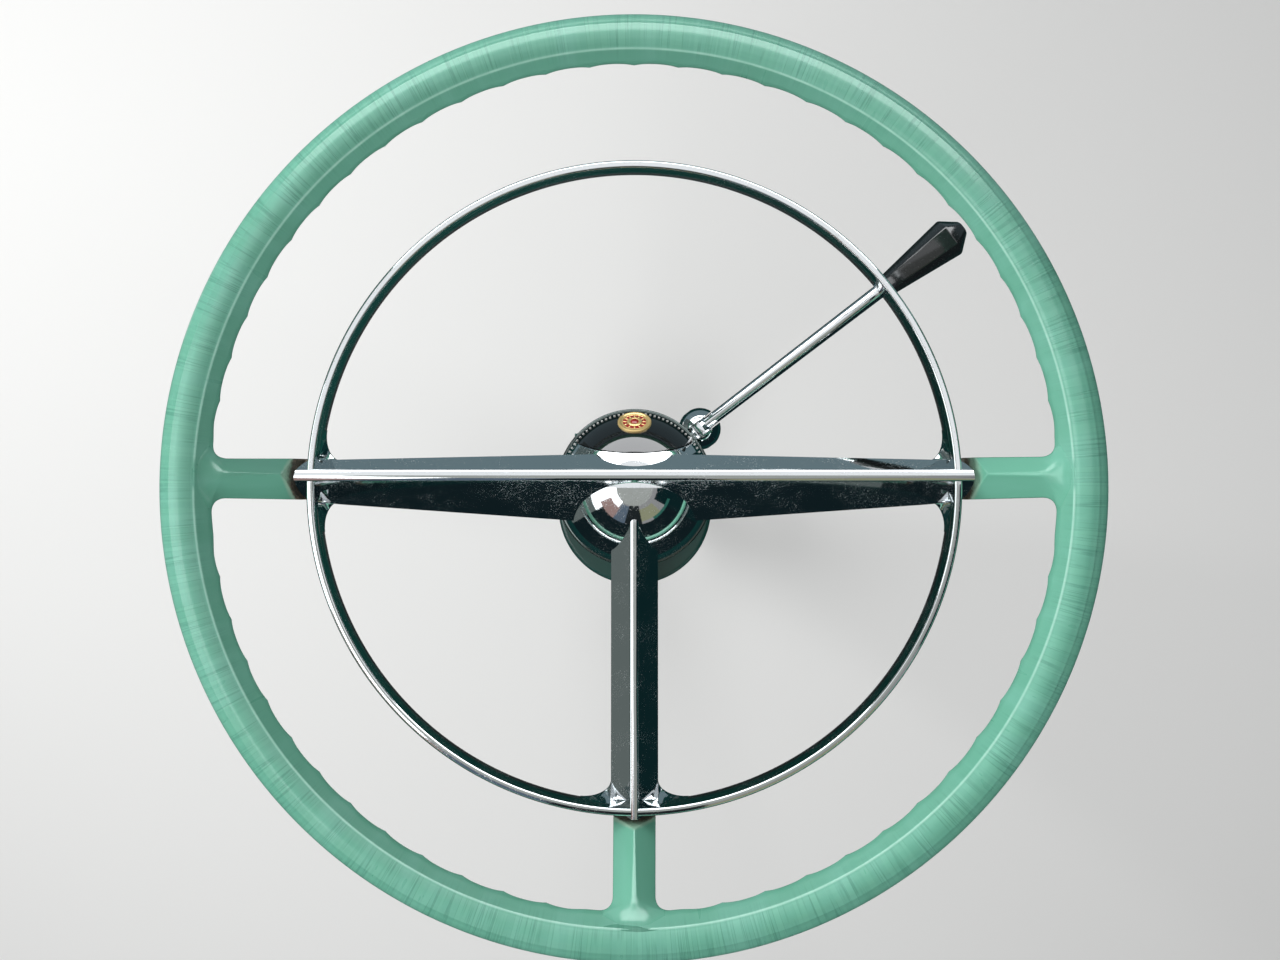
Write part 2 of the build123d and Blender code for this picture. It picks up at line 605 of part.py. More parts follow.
# Hub plate, boss and three rising spokes behind the bars
with BuildPart() as wheel_core:
    with BuildSketch(Plane.XZ):
        with BuildLine():
            Polyline(
                (0, hub_foot_z), (HUB_SKIRT_RADIUS, hub_foot_z), (DOME_RADIUS, bezel_foot_z),
                (HUB_BOSS_RADIUS, bezel_foot_z), (HUB_BOSS_RADIUS, boss_top_z), (0, boss_top_z),
                (0, hub_foot_z),
            )
        make_face()
    revolve(axis=Axis.Z)
    for hub_plane, end_plane, middle, hub_top, end_top in (
        (Plane.YZ, Plane.YZ.offset(stub_root_x), BAR_CENTRE_Y, spoke_hub_z, spoke_end_z),
        (Plane.YZ, Plane.YZ.offset(-stub_root_x), BAR_CENTRE_Y, spoke_hub_z, spoke_end_z),
        (Plane.XZ, Plane.XZ.offset(stub_root_x), 0, drop_spoke_hub_z, drop_spoke_end_z),
    ):
        with BuildSketch(hub_plane):
            with Locations((middle, hub_top - SPOKE_THICKNESS / 2)):
                Rectangle(SPOKE_WIDTH, SPOKE_THICKNESS)
        with BuildSketch(end_plane):
            with Locations((middle, end_top - SPOKE_THICKNESS / 2)):
                Rectangle(SPOKE_WIDTH, SPOKE_THICKNESS)
        loft(ruled=True)
    with BuildSketch(Plane.XY.offset(hub_foot_z)):
        Circle(SHAFT_RADIUS + FIT_GAP)
    extrude(amount=boss_top_z - hub_foot_z, mode=Mode.SUBTRACT)
wheel_core.part.label = "wheel_core"

# Bead round the foot of the dome
with BuildPart() as hub_bezel:
    with BuildSketch(Plane.XZ):
        with Locations((DOME_RADIUS - BEZEL_WIDTH / 2 + 1, bezel_foot_z + BEZEL_HEIGHT / 2)):
            RectangleRounded(BEZEL_WIDTH, BEZEL_HEIGHT, BEZEL_HEIGHT / 3)
    revolve(axis=Axis.Z)
hub_bezel.part.label = "hub_bezel"


def bar_section(low, high, crest, crest_width, crest_z, drops):
    """Roof section of a bar: rounded crest bead, two facets that fall by the drops, thin edges."""
    crest_low = crest - crest_width / 2
    crest_high = crest + crest_width / 2
    shoulder_z = crest_z - BAR_CREST_ROUND
    low_z, high_z = crest_z - drops[0], crest_z - drops[1]
    with BuildSketch() as section:
        with BuildLine():
            Polyline((crest_low, shoulder_z), (low, low_z), (low, low_z - BAR_LIP), (high, high_z - BAR_LIP),
                     (high, high_z), (crest_high, shoulder_z))
            ThreePointArc((crest_high, shoulder_z), (crest, crest_z), (crest_low, shoulder_z))
        make_face()
    return section.sketch


def web_plan():
    """Ring and bar ends from the front, with the ring's inner corners filleted into webs."""
    inner = RING_RADIUS - RING_WALL
    middle = RING_RADIUS - RING_WALL / 2
    with BuildSketch() as plan:
        Circle(middle)
        Circle(inner, mode=Mode.SUBTRACT)
        with Locations((0, (BAR_END_SPAN[0] + BAR_END_SPAN[1]) / 2)):
            Rectangle(2 * RING_RADIUS, BAR_END_SPAN[1] - BAR_END_SPAN[0] - WEB_INSET / 2)
        with Locations((0, -RING_RADIUS / 2)):
            Rectangle(DROP_BAR_WIDTH - 2 * WEB_INSET, RING_RADIUS)
        Circle(middle, mode=Mode.INTERSECT)
        corners = [corner for corner in plan.vertices()
                   if abs(math.hypot(corner.X, corner.Y) - inner) < FIT_GAP]
        fillet(corners, WEB_RADIUS)
        Circle(RING_RADIUS - WEB_REACH, mode=Mode.SUBTRACT)
    return plan.sketch


def bar_plan(margin):
    """Outline of the three bars from the front, with rounded ends, grown by a margin."""
    nose_x = bar_reach - BAR_NOSE
    nose_y = drop_bar_reach - BAR_NOSE
    end_half = (BAR_END_SPAN[1] - BAR_END_SPAN[0]) / 2 + margin
    drop_half = DROP_BAR_WIDTH / 2 + margin
    with BuildSketch() as plan:
        with Locations((0, BAR_CENTRE_Y)):
            Rectangle(2 * nose_x, 4 * end_half)
        with Locations((-nose_x, BAR_CENTRE_Y), (nose_x, BAR_CENTRE_Y)):
            Ellipse(BAR_NOSE + margin, end_half)
        with Locations((0, -nose_y / 2)):
            Rectangle(2 * drop_half, nose_y)
        with Locations((0, -nose_y)):
            Ellipse(drop_half, BAR_NOSE + margin)
    return plan.sketch


def notch_top(hub_z, end_z):
    """Top of the notch that clears a rising spoke at the dome's foot."""
    return hub_z + (end_z - hub_z) * notch_reach / stub_root_x + NOTCH_GAP


# Chrome casting: dome, three bars and the horn ring
with BuildPart() as horn_ring:
    for side in (-1, 1):
        with BuildSketch(Plane.YZ):
            add(bar_section(*BAR_HUB_SPAN, BAR_CREST_Y, BAR_CREST_WIDTH, bar_crest_z, BAR_HUB_DROPS))
        with BuildSketch(Plane.YZ.offset(side * bar_reach)):
            add(bar_section(*BAR_END_SPAN, BAR_CREST_Y, BAR_CREST_WIDTH, bar_crest_z, BAR_END_DROPS))
        loft(ruled=True)
    drop_half = DROP_BAR_WIDTH / 2
    drops = (DROP_BAR_DROP, DROP_BAR_DROP)
    with BuildSketch(Plane.XZ):
        add(bar_section(-drop_half, drop_half, 0, DROP_BAR_CREST_WIDTH, drop_hub_crest_z, drops))
    with BuildSketch(Plane.XZ.offset(drop_bar_reach)):
        add(bar_section(-drop_half, drop_half, 0, DROP_BAR_CREST_WIDTH, drop_end_crest_z, drops))
    loft(ruled=True)
    with BuildSketch(Plane.XY.offset(dome_base_z)):
        add(bar_plan(0))
    extrude(amount=2 * DOME_RISE, mode=Mode.INTERSECT)
    with BuildSketch(Plane.XZ):
        add(dome_profile(0))
    revolve(axis=Axis.Z)
    with BuildSketch(Plane.XZ):
        add(dome_profile(DOME_WALL))
    revolve(axis=Axis.Z, mode=Mode.SUBTRACT)
    with BuildSketch(seam_plane):
        Rectangle(2 * notch_reach, 2 * notch_reach)
    extrude(amount=DOME_RADIUS, mode=Mode.SUBTRACT)
    with BuildSketch(Plane.XY.offset(dome_base_z)):
        with Locations((0, BAR_CENTRE_Y)):
            Rectangle(2 * notch_reach, SPOKE_WIDTH + 2 * NOTCH_GAP)
    extrude(amount=notch_top(spoke_hub_z, spoke_end_z) - dome_base_z, mode=Mode.SUBTRACT)
    with BuildSketch(Plane.XY.offset(dome_base_z)):
        with Locations((0, -notch_reach / 2)):
            Rectangle(SPOKE_WIDTH + 2 * NOTCH_GAP, notch_reach)
    extrude(amount=notch_top(drop_spoke_hub_z, drop_spoke_end_z) - dome_base_z, mode=Mode.SUBTRACT)
    with BuildSketch(Plane.XZ):
        with Locations((RING_RADIUS - RING_WALL / 2, ring_front_z - RING_DEPTH / 2)):
            RectangleRounded(RING_WALL, RING_DEPTH, RING_WALL / 3)
    revolve(axis=Axis.Z)
    with BuildSketch(Plane.XY.offset(ring_front_z - RING_DEPTH + RING_WALL / 2)):
        add(web_plan())
    extrude(amount=WEB_THICKNESS)
horn_ring.part.label = "horn_ring"

# Black lens on the dome's upper side
badge_normal = Vector(0, math.sin(math.radians(BADGE_TILT)), math.cos(math.radians(BADGE_TILT)))
badge_floor = dome_sphere - BADGE_DEPTH
badge_plane = Plane(origin=Vector(0, 0, dome_centre_z) + badge_normal * badge_floor, x_dir=(1, 0, 0),
                    z_dir=badge_normal)
with BuildPart() as medallion:
    with BuildSketch(Plane.XZ):
        add(dome_profile(0))
    revolve(axis=Axis.Z)
    with BuildSketch(Plane.XZ):
        add(dome_profile(DOME_WALL))
    revolve(axis=Axis.Z, mode=Mode.SUBTRACT)
    split(bisect_by=seam_plane.offset(FIT_GAP), keep=Keep.TOP)
    with BuildSketch(badge_plane):
        Circle(BADGE_RADIUS + FIT_GAP)
    extrude(amount=BADGE_DEPTH * 4, mode=Mode.SUBTRACT)
medallion.part.label = "medallion"

# Plain ornament set into the lens
with BuildPart() as hub_ornament:
    with BuildSketch(badge_plane):
        Circle(BADGE_RADIUS)
    extrude(amount=BADGE_DEPTH + BADGE_RISE)
    fillet(hub_ornament.edges().group_by(Axis.Z)[-1], BADGE_RISE / 2)
hub_ornament.part.label = "hub_ornament"


def rim_section():
    """Section of the rim: crowned front between two ridges, round back, narrow inner facet."""
    inner = (rim_inner, rim_plane_z - RIM_INNER_DROP)
    ridge = (rim_inner + RIDGE_INSET, rim_plane_z + RIDGE_RISE)
    crown = (rim_inner + (RIDGE_INSET + SHOULDER_INSET) / 2, rim_plane_z + SHOULDER_RISE)
    shoulder = (rim_inner + SHOULDER_INSET, rim_plane_z + SHOULDER_RISE)
    outer = (WHEEL_RADIUS, rim_plane_z - 1)
    back = (rim_inner + RIM_WIDTH * 0.45, rim_plane_z - RIM_DEPTH / 2)
    with BuildSketch() as section:
        with BuildLine():
            Line(inner, ridge)
            ThreePointArc(ridge, crown, shoulder)
            ThreePointArc(shoulder, (rim_inner + RIM_WIDTH * 0.87, rim_plane_z + RIM_DEPTH * 0.19), outer)
            ThreePointArc(outer, (rim_inner + RIM_WIDTH * 0.83, rim_plane_z - RIM_DEPTH * 0.36), back)
            ThreePointArc(back, (rim_inner + RIM_WIDTH * 0.13, rim_plane_z - RIM_DEPTH * 0.37), inner)
        make_face()
        for point, rounding in ((ridge, RIDGE_ROUND), (shoulder, SHOULDER_ROUND)):
            corner = section.vertices().sort_by_distance(Vector(*point))[0]
            fillet(corner, rounding)
    return section.sketch


def stub_section(centre, crest, crest_z, back_z):
    """Roof section of a plastic stub, as wide as its flare."""
    half = STUB_WIDTH / 2 + STUB_FLARE
    low, high = centre - half, centre + half
    low_z = max(crest_z - STUB_ROOF_SLOPE * (crest - low), back_z + BAR_LIP)
    high_z = max(crest_z - STUB_ROOF_SLOPE * (high - crest), back_z + BAR_LIP)
    with BuildSketch() as section:
        with BuildLine():
            Polyline((low, back_z), (high, back_z), (high, high_z), (crest, crest_z), (low, low_z),
                     close=True)
        make_face()
    return section.sketch


def stub_plan(centre):
    """Stub from the front: parallel sides that flare into the rim."""
    half = STUB_WIDTH / 2
    with BuildSketch() as plan:
        with Locations(((stub_root_x + stub_end) / 2, centre)):
            Rectangle(stub_end - stub_root_x, STUB_WIDTH)
        with Locations(((rim_inner + stub_end) / 2, centre)):
            Rectangle(STUB_BURY, STUB_WIDTH + 2 * STUB_FLARE)
        corners = [corner for corner in plan.vertices()
                   if abs(corner.X - rim_inner) < FIT_GAP and abs(abs(corner.Y - centre) - half) < FIT_GAP]
        fillet(corners, STUB_FLARE - FIT_GAP)
    return plan.sketch


def stub_root_back(floor_z, lip):
    """Height of a stub's back at its root, low enough for a wall under the pocket at the lip."""
    wall_z = floor_z - STUB_FLOOR_WALL
    fall = (stub_rim_back_z - wall_z) * (lip - stub_root_x) / (stub_end - lip)
    return min(floor_z - SPOKE_THICKNESS - STUB_ROOT_DROP, wall_z - fall)


def stub_plane(angle):
    """Upright plane through the steering axis and a stub, with x along the stub."""
    return Plane(origin=(0, 0, 0), x_dir=(*polar(1, angle), 0), z_dir=(*polar(1, angle - 90), 0))


def grip_plane(angle):
    """Plane at the centre of a finger grip's sphere, facing the rim's inner back edge."""
    tilt = math.radians(GRIP_TILT)
    depth = GRIP_RADIUS - GRIP_DEPTH
    radius = rim_inner + GRIP_EDGE_INSET - depth * math.cos(tilt)
    height = rim_plane_z - GRIP_EDGE_DROP - depth * math.sin(tilt)
    along = Vector(*polar(1, angle + 90), 0)
    into = Vector(*polar(math.cos(tilt), angle), math.sin(tilt))
    return Plane(origin=(*polar(radius, angle), height), x_dir=along, z_dir=into)


# Three plastic stubs. Each row gives the stub's angle, the planes across its root and end, its
# middle and crest, the heights of its back and pocket floor, and where the lip starts.
stub_end = rim_inner + STUB_BURY
stub_root_crest_z = bar_crest_z - STUB_ROOT_SINK
stub_rim_crest_z = rim_plane_z + STUB_RIM_RISE
stub_rim_back_z = rim_plane_z - STUB_RIM_DROP
side_row = (STUB_CENTRE_Y, STUB_CREST_Y, spoke_end_z, bar_reach + LIP_GAP)
STUBS = (
    (0, Plane.YZ.offset(stub_root_x), Plane.YZ.offset(stub_end), *side_row),
    (180, Plane.YZ.offset(-stub_root_x), Plane.YZ.offset(-stub_end), *side_row),
    (270, Plane.XZ.offset(stub_root_x), Plane.XZ.offset(stub_end), 0, 0, drop_spoke_end_z,
     drop_bar_reach + LIP_GAP),
)
with BuildPart() as stubs:
    for angle, plane_root, plane_end, centre, crest, floor_z, lip in STUBS:
        with BuildSketch(plane_root):
            add(stub_section(centre, crest, stub_root_crest_z, stub_root_back(floor_z, lip)))
        with BuildSketch(plane_end):
            add(stub_section(centre, crest, stub_rim_crest_z, stub_rim_back_z))
        loft(ruled=True)
    with BuildSketch(Plane.XY.offset(hub_foot_z)):
        add(stub_plan(STUB_CENTRE_Y))
        add(mirror(stub_plan(STUB_CENTRE_Y), about=Plane.YZ))
        add(stub_plan(0).rotate(Axis.Z, -90))
    extrude(amount=rim_plane_z + RIM_DEPTH - hub_foot_z, mode=Mode.INTERSECT)
    lean = 1 / math.tan(math.radians(LIP_SLOPE))
    for angle, plane_root, plane_end, centre, crest, floor_z, lip in STUBS:
        rise = rim_plane_z - floor_z
        with BuildSketch(stub_plane(angle)):
            with BuildLine():
                Polyline((stub_root_x - 1, floor_z), (lip, floor_z), (lip + rise * lean, floor_z + rise),
                         (stub_root_x - 1, floor_z + rise), close=True)
            make_face()
        extrude(amount=STUB_WIDTH, both=True, mode=Mode.SUBTRACT)

# Cap of the sphere that presses one finger grip into the rim
grip_foot = GRIP_RADIUS - GRIP_DEPTH - GRIP_MARGIN
grip_half = math.sqrt(GRIP_RADIUS**2 - grip_foot**2)
grip_turn = polar(GRIP_RADIUS, (90 + math.degrees(math.asin(grip_foot / GRIP_RADIUS))) / 2)
with BuildPart() as grip:
    with BuildSketch(Plane.XZ):
        with BuildLine():
            Polyline((0, GRIP_RADIUS), (0, grip_foot), (grip_half, grip_foot))
            ThreePointArc((grip_half, grip_foot), grip_turn, (0, GRIP_RADIUS))
        make_face()
    revolve(axis=Axis.Z)

# Plastic rim with its finger grips, in one with the stubs
with BuildPart() as rim:
    with BuildSketch(Plane.XZ):
        add(rim_section())
    revolve(axis=Axis.Z)
    with Locations(*[grip_plane((number + 0.5) * 360 / GRIP_COUNT) for number in range(GRIP_COUNT)]):
        add(grip.part, mode=Mode.SUBTRACT)
    add(stubs.part)
rim.part.label = "rim"

PIECES = (
    mast_jacket, gear_flange, toe_plate, floor_seal, dash_bracket, dash_strap, clamp_bolts,
    lower_bearing, upper_bearing, signal_housing, signal_pin, steering_shaft, wheel_core, rim,
    horn_ring, medallion, hub_ornament, hub_bezel, shift_bowl, lever_knuckle, knuckle_pin,
    lever_shaft, lever_knob, shift_tube, lower_lever, signal_lever, signal_knob,
)
for piece in PIECES:
    export_step(piece.part, f"parts/{piece.part.label}.step")
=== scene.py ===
import math

import bmesh
import bpy
import numpy as np
from mathutils import Matrix, Vector


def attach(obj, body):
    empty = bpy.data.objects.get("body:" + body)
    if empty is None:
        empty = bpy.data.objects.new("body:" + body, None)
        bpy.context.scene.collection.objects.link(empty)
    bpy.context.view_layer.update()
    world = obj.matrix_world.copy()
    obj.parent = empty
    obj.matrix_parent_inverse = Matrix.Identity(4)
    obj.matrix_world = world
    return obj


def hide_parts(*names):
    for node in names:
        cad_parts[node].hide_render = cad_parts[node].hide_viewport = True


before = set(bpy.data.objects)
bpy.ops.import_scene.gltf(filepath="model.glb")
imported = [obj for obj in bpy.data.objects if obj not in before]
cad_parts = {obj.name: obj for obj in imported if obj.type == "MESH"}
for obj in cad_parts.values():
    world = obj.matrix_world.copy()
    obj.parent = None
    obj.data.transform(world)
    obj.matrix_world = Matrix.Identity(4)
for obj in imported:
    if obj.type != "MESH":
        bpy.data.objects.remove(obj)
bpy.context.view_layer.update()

MM = 0.001

# Sizes of the wheel, in millimetres
WHEEL_RADIUS = 228.5
RIM_WIDTH = 22.5
RIM_DEPTH = 27.0
RIM_PLANE = 880.0
RIM_INNER = WHEEL_RADIUS - RIM_WIDTH
RIM_INNER_DROP = 4.5
RIDGE_INSET = 2.9
RIDGE_RISE = 6.0
SHOULDER_INSET = 14.3
SHOULDER_RISE = 8.2

# Finger grips: the middle of one lies out from the rim's inner edge and down from its plane, and
# the push on the surface is outwards and up
GRIP_COUNT = 60
GRIP_DEPTH = 1.3
GRIP_MIDDLE = (1.2, 9.0)
GRIP_REACH = 9.0
GRIP_PUSH = (0.87, 0.5)

# Stubs between the bars and the rim. The painted highlight along the rim's ridge stops beside each crest.
STUB_ANGLES = (0, 180, 270)
SIDE_LIP = 175.0
BOTTOM_LIP = 170.5
SIDE_CREST = 6.8
RIDGE_HIGHLIGHT_BREAK = (4.0, 9.0)
STUB_FRONT = 209.0
STUB_END = 212.0
STUB_SLOPE = 1.15
STUB_FILLET = 7.5
FILLET_EASE = 5.6
FILLET_EASE_SPAN = (876.0, 885.0)
STRIP_WIDTH = 3.0
CREST_FOOT_RADIUS = 166.0
CREST_FOOT_HEIGHT = 846.0
CREST_RISE = 0.87
CREST_END = 886.3
BACK_END = 868.0
POCKET_WALL = 4.5
LIP_ANGLE = math.radians(80.0)
FILLET_START = 8.0

# Loops of a stub's skin: their spacing, the bowed front that the last straight one follows, and
# the flow from there onto the rim
FRONT_FOOT = 866.0
FRONT_RISE = 20.0
FRONT_BOW = 8.0
LOOP_POINTS = 230
LIP_SHARES = (0.02, 0.4, 0.8, 0.93, 0.97, 0.99)
STUB_STEPS = 56
STUB_CROWDING = 1.35
FLOW_STEPS = 44
FLOW_LENGTH = 23.0
FLOW_SPREAD = 3.0
SKIN_OVER = 0.02
SKIN_DIVE = 0.12

# Tongues, the floors of the pockets that the bars' noses lie in
TONGUE_LENGTH = 9.0
TONGUE_DEPTH = 12.0
TONGUE_TAPER = 0.5
TONGUE_ROUND = 2.0

# Bars, ring and webs. A span is a bar's lower and upper edge, and drops are how far each of the
# two lies under the crest. A web's hollow is shares of its reach and its height.
CREST = 852.0
BAR_REACH = 174.5
BAR_NOSE = 6.5
BAR_CREST = 6.6
BAR_CREST_WIDTH = 6.2
BAR_CREST_ROUND = 1.4
BAR_LIP = 2.0
BAR_STATIONS = 24
BAR_HUB_SPAN = (-20.0, 18.2)
BAR_HUB_DROPS = (24.0, 12.0)
BAR_END_SPAN = (-7.2, 14.4)
BAR_END_DROPS = (12.0, 8.0)
DROP_REACH = 170.0
DROP_WIDTH = 25.0
DROP_CREST_WIDTH = 4.7
DROP_CRESTS = (846.5, 851.5)
DROP_FALL = 15.5
EDGE_ANGLE = 24.0
EDGE_BREAK = 0.55
FACET_CREASE = 10.0
RING_RADIUS = 168.5
RING_WALL = 4.0
RING_DEPTH = 13.0
RING_FRONT = 851.0
RING_EDGE = 1.1
WEB_ALONG = 9.0
WEB_ACROSS = 16.0
WEB_INSIDE = 1.2
WEB_SINK = 1.0
WEB_TOP = 844.5
WEB_HOLLOW = ((0.35, 0.5), (0.7, 0.17))
WEB_STEPS = 28

# Hub
DOME_RADIUS = 42.0
DOME_BASE = 820.5
DOME_RISE = 29.5
DOME_SPHERE = (DOME_RADIUS**2 + DOME_RISE**2) / (2 * DOME_RISE)
DOME_CENTRE = DOME_BASE + DOME_RISE - DOME_SPHERE
SEAM_FOOT = 26.1
SEAM_HEAD = 17.0
SEAM_HALF_GAP = 0.18
TOOTH_RADIUS = 40.0
TOOTH_COUNT = 40
TOOTH_START = 22
TOOTH_SIZE = (1.0, 1.15, 1.2)
BADGE_TILT = 52.0
BADGE_SINK = 1.2
PETAL_COUNT = 12

# Welding of the CAD nodes' meshes
WELD_DISTANCE = 0.004
FLAT_ANGLE = 0.6

# Floor and surround, in metres
FLOOR_HALF = 6.0
CARD_CENTRE = Vector((0, 0, 0.85))
CARD_RADIUS = 1.1
CARD_APART = 0.004
CARD_BELOW_HALF = 0.9
CARD_BELOW_HEIGHT = 0.15


# Camera above the hub, looking down the column
optics = bpy.data.cameras.new("front_view")
optics.lens = 26.0
optics.sensor_width = 36.0
optics.clip_start = 0.01
camera = bpy.data.objects.new("front_view", optics)
camera.location = (0.0029, 0.0042, 1.325)
bpy.context.scene.collection.objects.link(camera)
bpy.context.scene.camera = camera
bpy.context.scene.view_settings.view_transform = "Standard"


class Value:
    """A number that varies over a surface. Arithmetic on it adds Math nodes."""

    def __init__(self, finish, socket):
        self.finish = finish
        self.socket = socket

    def math(self, operation, *others, flip=False):
        """One Math node on this value and the others, in the reverse order where flipped."""
        values = [self, *others]
        if flip:
            values.reverse()
        made = self.finish.node("ShaderNodeMath", {"operation": operation}, dict(enumerate(values)))
        return Value(self.finish, made.outputs[0])

    def __add__(self, other):
        return self.math("ADD", other)

    def __sub__(self, other):
        return self.math("SUBTRACT", other)

    def __rsub__(self, other):
        return self.math("SUBTRACT", other, flip=True)

    def __mul__(self, other):
        return self.math("MULTIPLY", other)

    def __truediv__(self, other):
        return self.math("DIVIDE", other)

    def __rtruediv__(self, other):
        return self.math("DIVIDE", other, flip=True)

    def __pow__(self, other):
        return self.math("POWER", other)

    def __neg__(self):
        return self.math("MULTIPLY", -1.0)

    def __abs__(self):
        return self.math("ABSOLUTE")

    __radd__ = __add__
    __rmul__ = __mul__

    def step(self, low, high):
        """Smooth rise from 0 at low to 1 at high."""
        made = self.finish.node(
            "ShaderNodeMapRange",
            {"interpolation_type": "SMOOTHSTEP"},
            {"Value": self, "From Min": low, "From Max": high},
        )
        return Value(self.finish, made.outputs["Result"])


class Finish:
    """A material built on the Principled shader."""

    def __init__(self, name, color, roughness, metallic=0.0, **fixed):
        self.material = bpy.data.materials.new(name)
        self.material.use_nodes = True
        self.tree = self.material.node_tree
        self.shader = self.tree.nodes["Principled BSDF"]
        self.feed("Base Color", (*color, 1.0))
        self.feed("Roughness", roughness)
        self.feed("Metallic", metallic)
        for name, value in fixed.items():
            self.feed(name.replace("_", " ").title().replace("Ior", "IOR"), value)
        coordinates = self.node("ShaderNodeTexCoord").outputs["Object"]
        self.place = coordinates
        axes = self.node("ShaderNodeSeparateXYZ", {}, {"Vector": coordinates})
        self.x, self.y, self.z = (Value(self, axes.outputs[i]) * 1000.0 for i in range(3))

    def node(self, kind, settings=None, inputs=None):
        """A node with its settings and the values or links of its sockets."""
        made = self.tree.nodes.new(kind)
        for key, value in (settings or {}).items():
            setattr(made, key, value)
        for key, value in (inputs or {}).items():
            if isinstance(value, Value):
                value = value.socket
            if isinstance(value, bpy.types.NodeSocket):
                self.tree.links.new(value, made.inputs[key])
            else:
                made.inputs[key].default_value = value
        return made

    def feed(self, name, value):
        """Gives a socket of the shader a fixed value or a link."""
        if isinstance(value, Value):
            value = value.socket
        if isinstance(value, bpy.types.NodeSocket):
            self.tree.links.new(value, self.shader.inputs[name])
        else:
            self.shader.inputs[name].default_value = value

    def vector(self, x, y, z):
        """Three values as one vector."""
        return self.node("ShaderNodeCombineXYZ", {}, {0: x, 1: y, 2: z}).outputs[0]

    def stretched(self, x, y, z):
        """Object coordinates in millimetres divided by a pattern size on each axis."""
        return self.node(
            "ShaderNodeMapping", {}, {"Vector": self.place, "Scale": (1000 / x, 1000 / y, 1000 / z)}
        ).outputs[0]

    def noise(self, place, detail=2.0, roughness=0.5):
        """Noise from about 0 to 1 at a place."""
        inputs = {"Vector": place, "Scale": 1.0, "Detail": detail, "Roughness": roughness}
        made = self.node("ShaderNodeTexNoise", {}, inputs)
        return Value(self, made.outputs[0])

    def mix(self, factor, first, second):
        """Colour between two colours, each a tuple or a socket."""
        first, second = ((*c, 1.0) if isinstance(c, tuple) else c for c in (first, second))
        made = self.node("ShaderNodeMix", {"data_type": "RGBA"}, {0: factor, 6: first, 7: second})
        return made.outputs[2]

    def bump(self, height, depth):
        """Relief of a height from 0 to 1, that many millimetres deep."""
        made = self.node("ShaderNodeBump", {}, {"Height": height, "Distance": depth * MM, "Strength": 1.0})
        self.feed("Normal", made.outputs[0])


def jade_plastic(name="jade_plastic", lip_radius=0.0, dirt_width=0.0):
    """Green cast plastic. The rim has radial grain and a painted highlight along its ridge, and a
    stub, whose lip lies at lip_radius, has brown dirt along it and a painted highlight past the dirt.
    """
    green = (0.142, 0.412, 0.296)
    finish = Finish(name, green, 0.28, coat_weight=0.40, coat_roughness=0.14)
    radius = (finish.x * finish.x + finish.y * finish.y) ** 0.5
    cos, sin = finish.x / radius, finish.y / radius
    on_rim = radius.step(RIM_INNER, RIM_INNER + 6.0)
    fine = finish.noise(
        finish.vector(cos * 118.3 + 7.31, sin * 118.3 + 3.77, radius * 0.013), 2.0, 0.35
    )
    broken = finish.noise(finish.vector(cos * 31.7, sin * 31.7, radius * 0.05), 2.0)
    line = (1.0 - abs(fine - 0.5).step(0.008, 0.06)) * broken.step(0.34, 0.62) * on_rim
    broad = finish.noise(finish.vector(cos * 16.0, sin * 16.0, radius * 0.02), 2.0)
    cloud = finish.noise(finish.stretched(34, 34, 34), 2.0)
    color = finish.mix(broad.step(0.42, 0.72) * 0.45, green, (0.190, 0.478, 0.375))
    color = finish.mix(fine.step(0.4, 0.65) * on_rim * 0.22, color, (0.085, 0.300, 0.225))
    color = finish.mix(cloud.step(0.5, 0.8) * 0.25, color, (0.140, 0.372, 0.262))
    color = finish.mix(line * 0.42, color, (0.035, 0.170, 0.125))
    finish.feed("Roughness", 0.24 + broken * 0.12)
    if lip_radius:
        stain = finish.noise(finish.stretched(2.2, 2.2, 2.2), 4.0, 0.65)
        speck = finish.noise(finish.stretched(0.8, 0.8, 0.8), 2.0)
        dirt_end = lip_radius + dirt_width
        dirt = 1.0 - (radius + stain * 1.6).step(dirt_end, dirt_end + 1.2)
        # Painted highlight: a pale band on the lip's edge just past the dirt
        edge = (1.0 - (radius + stain * 1.2).step(dirt_end + 1.0, dirt_end + 2.4)) * 0.55
        brown = finish.mix(speck.step(0.4, 0.7), (0.045, 0.030, 0.022), (0.150, 0.095, 0.062))
        color = finish.mix(edge, color, (0.400, 0.520, 0.400))
        color = finish.mix(dirt * 0.94, color, brown)
        finish.feed("Roughness", 0.26 + dirt * 0.5)
    else:
        # Painted highlight: a lighter band along the rim's ridge, left out beside the crests and at the bottom
        # stub
        ridge_radius, ridge_top = RIM_INNER + RIDGE_INSET + 0.3, RIM_PLANE + RIDGE_RISE
        ridge = 1.0 - abs(radius - ridge_radius).step(0.15, 0.75)
        ridge = ridge * finish.z.step(ridge_top - 1.0, ridge_top)
        at_bottom = (1.0 - abs(finish.x).step(*RIDGE_HIGHLIGHT_BREAK)) * (-finish.y).step(100.0, 150.0)
        ridge = ridge * abs(finish.y - SIDE_CREST).step(*RIDGE_HIGHLIGHT_BREAK) * (1.0 - at_bottom)
        color = finish.mix(ridge * (0.25 + broken * 0.5), color, (0.440, 0.740, 0.620))
    finish.feed("Base Color", color)
    finish.bump(1.0 - line, 0.04)
    return finish.material


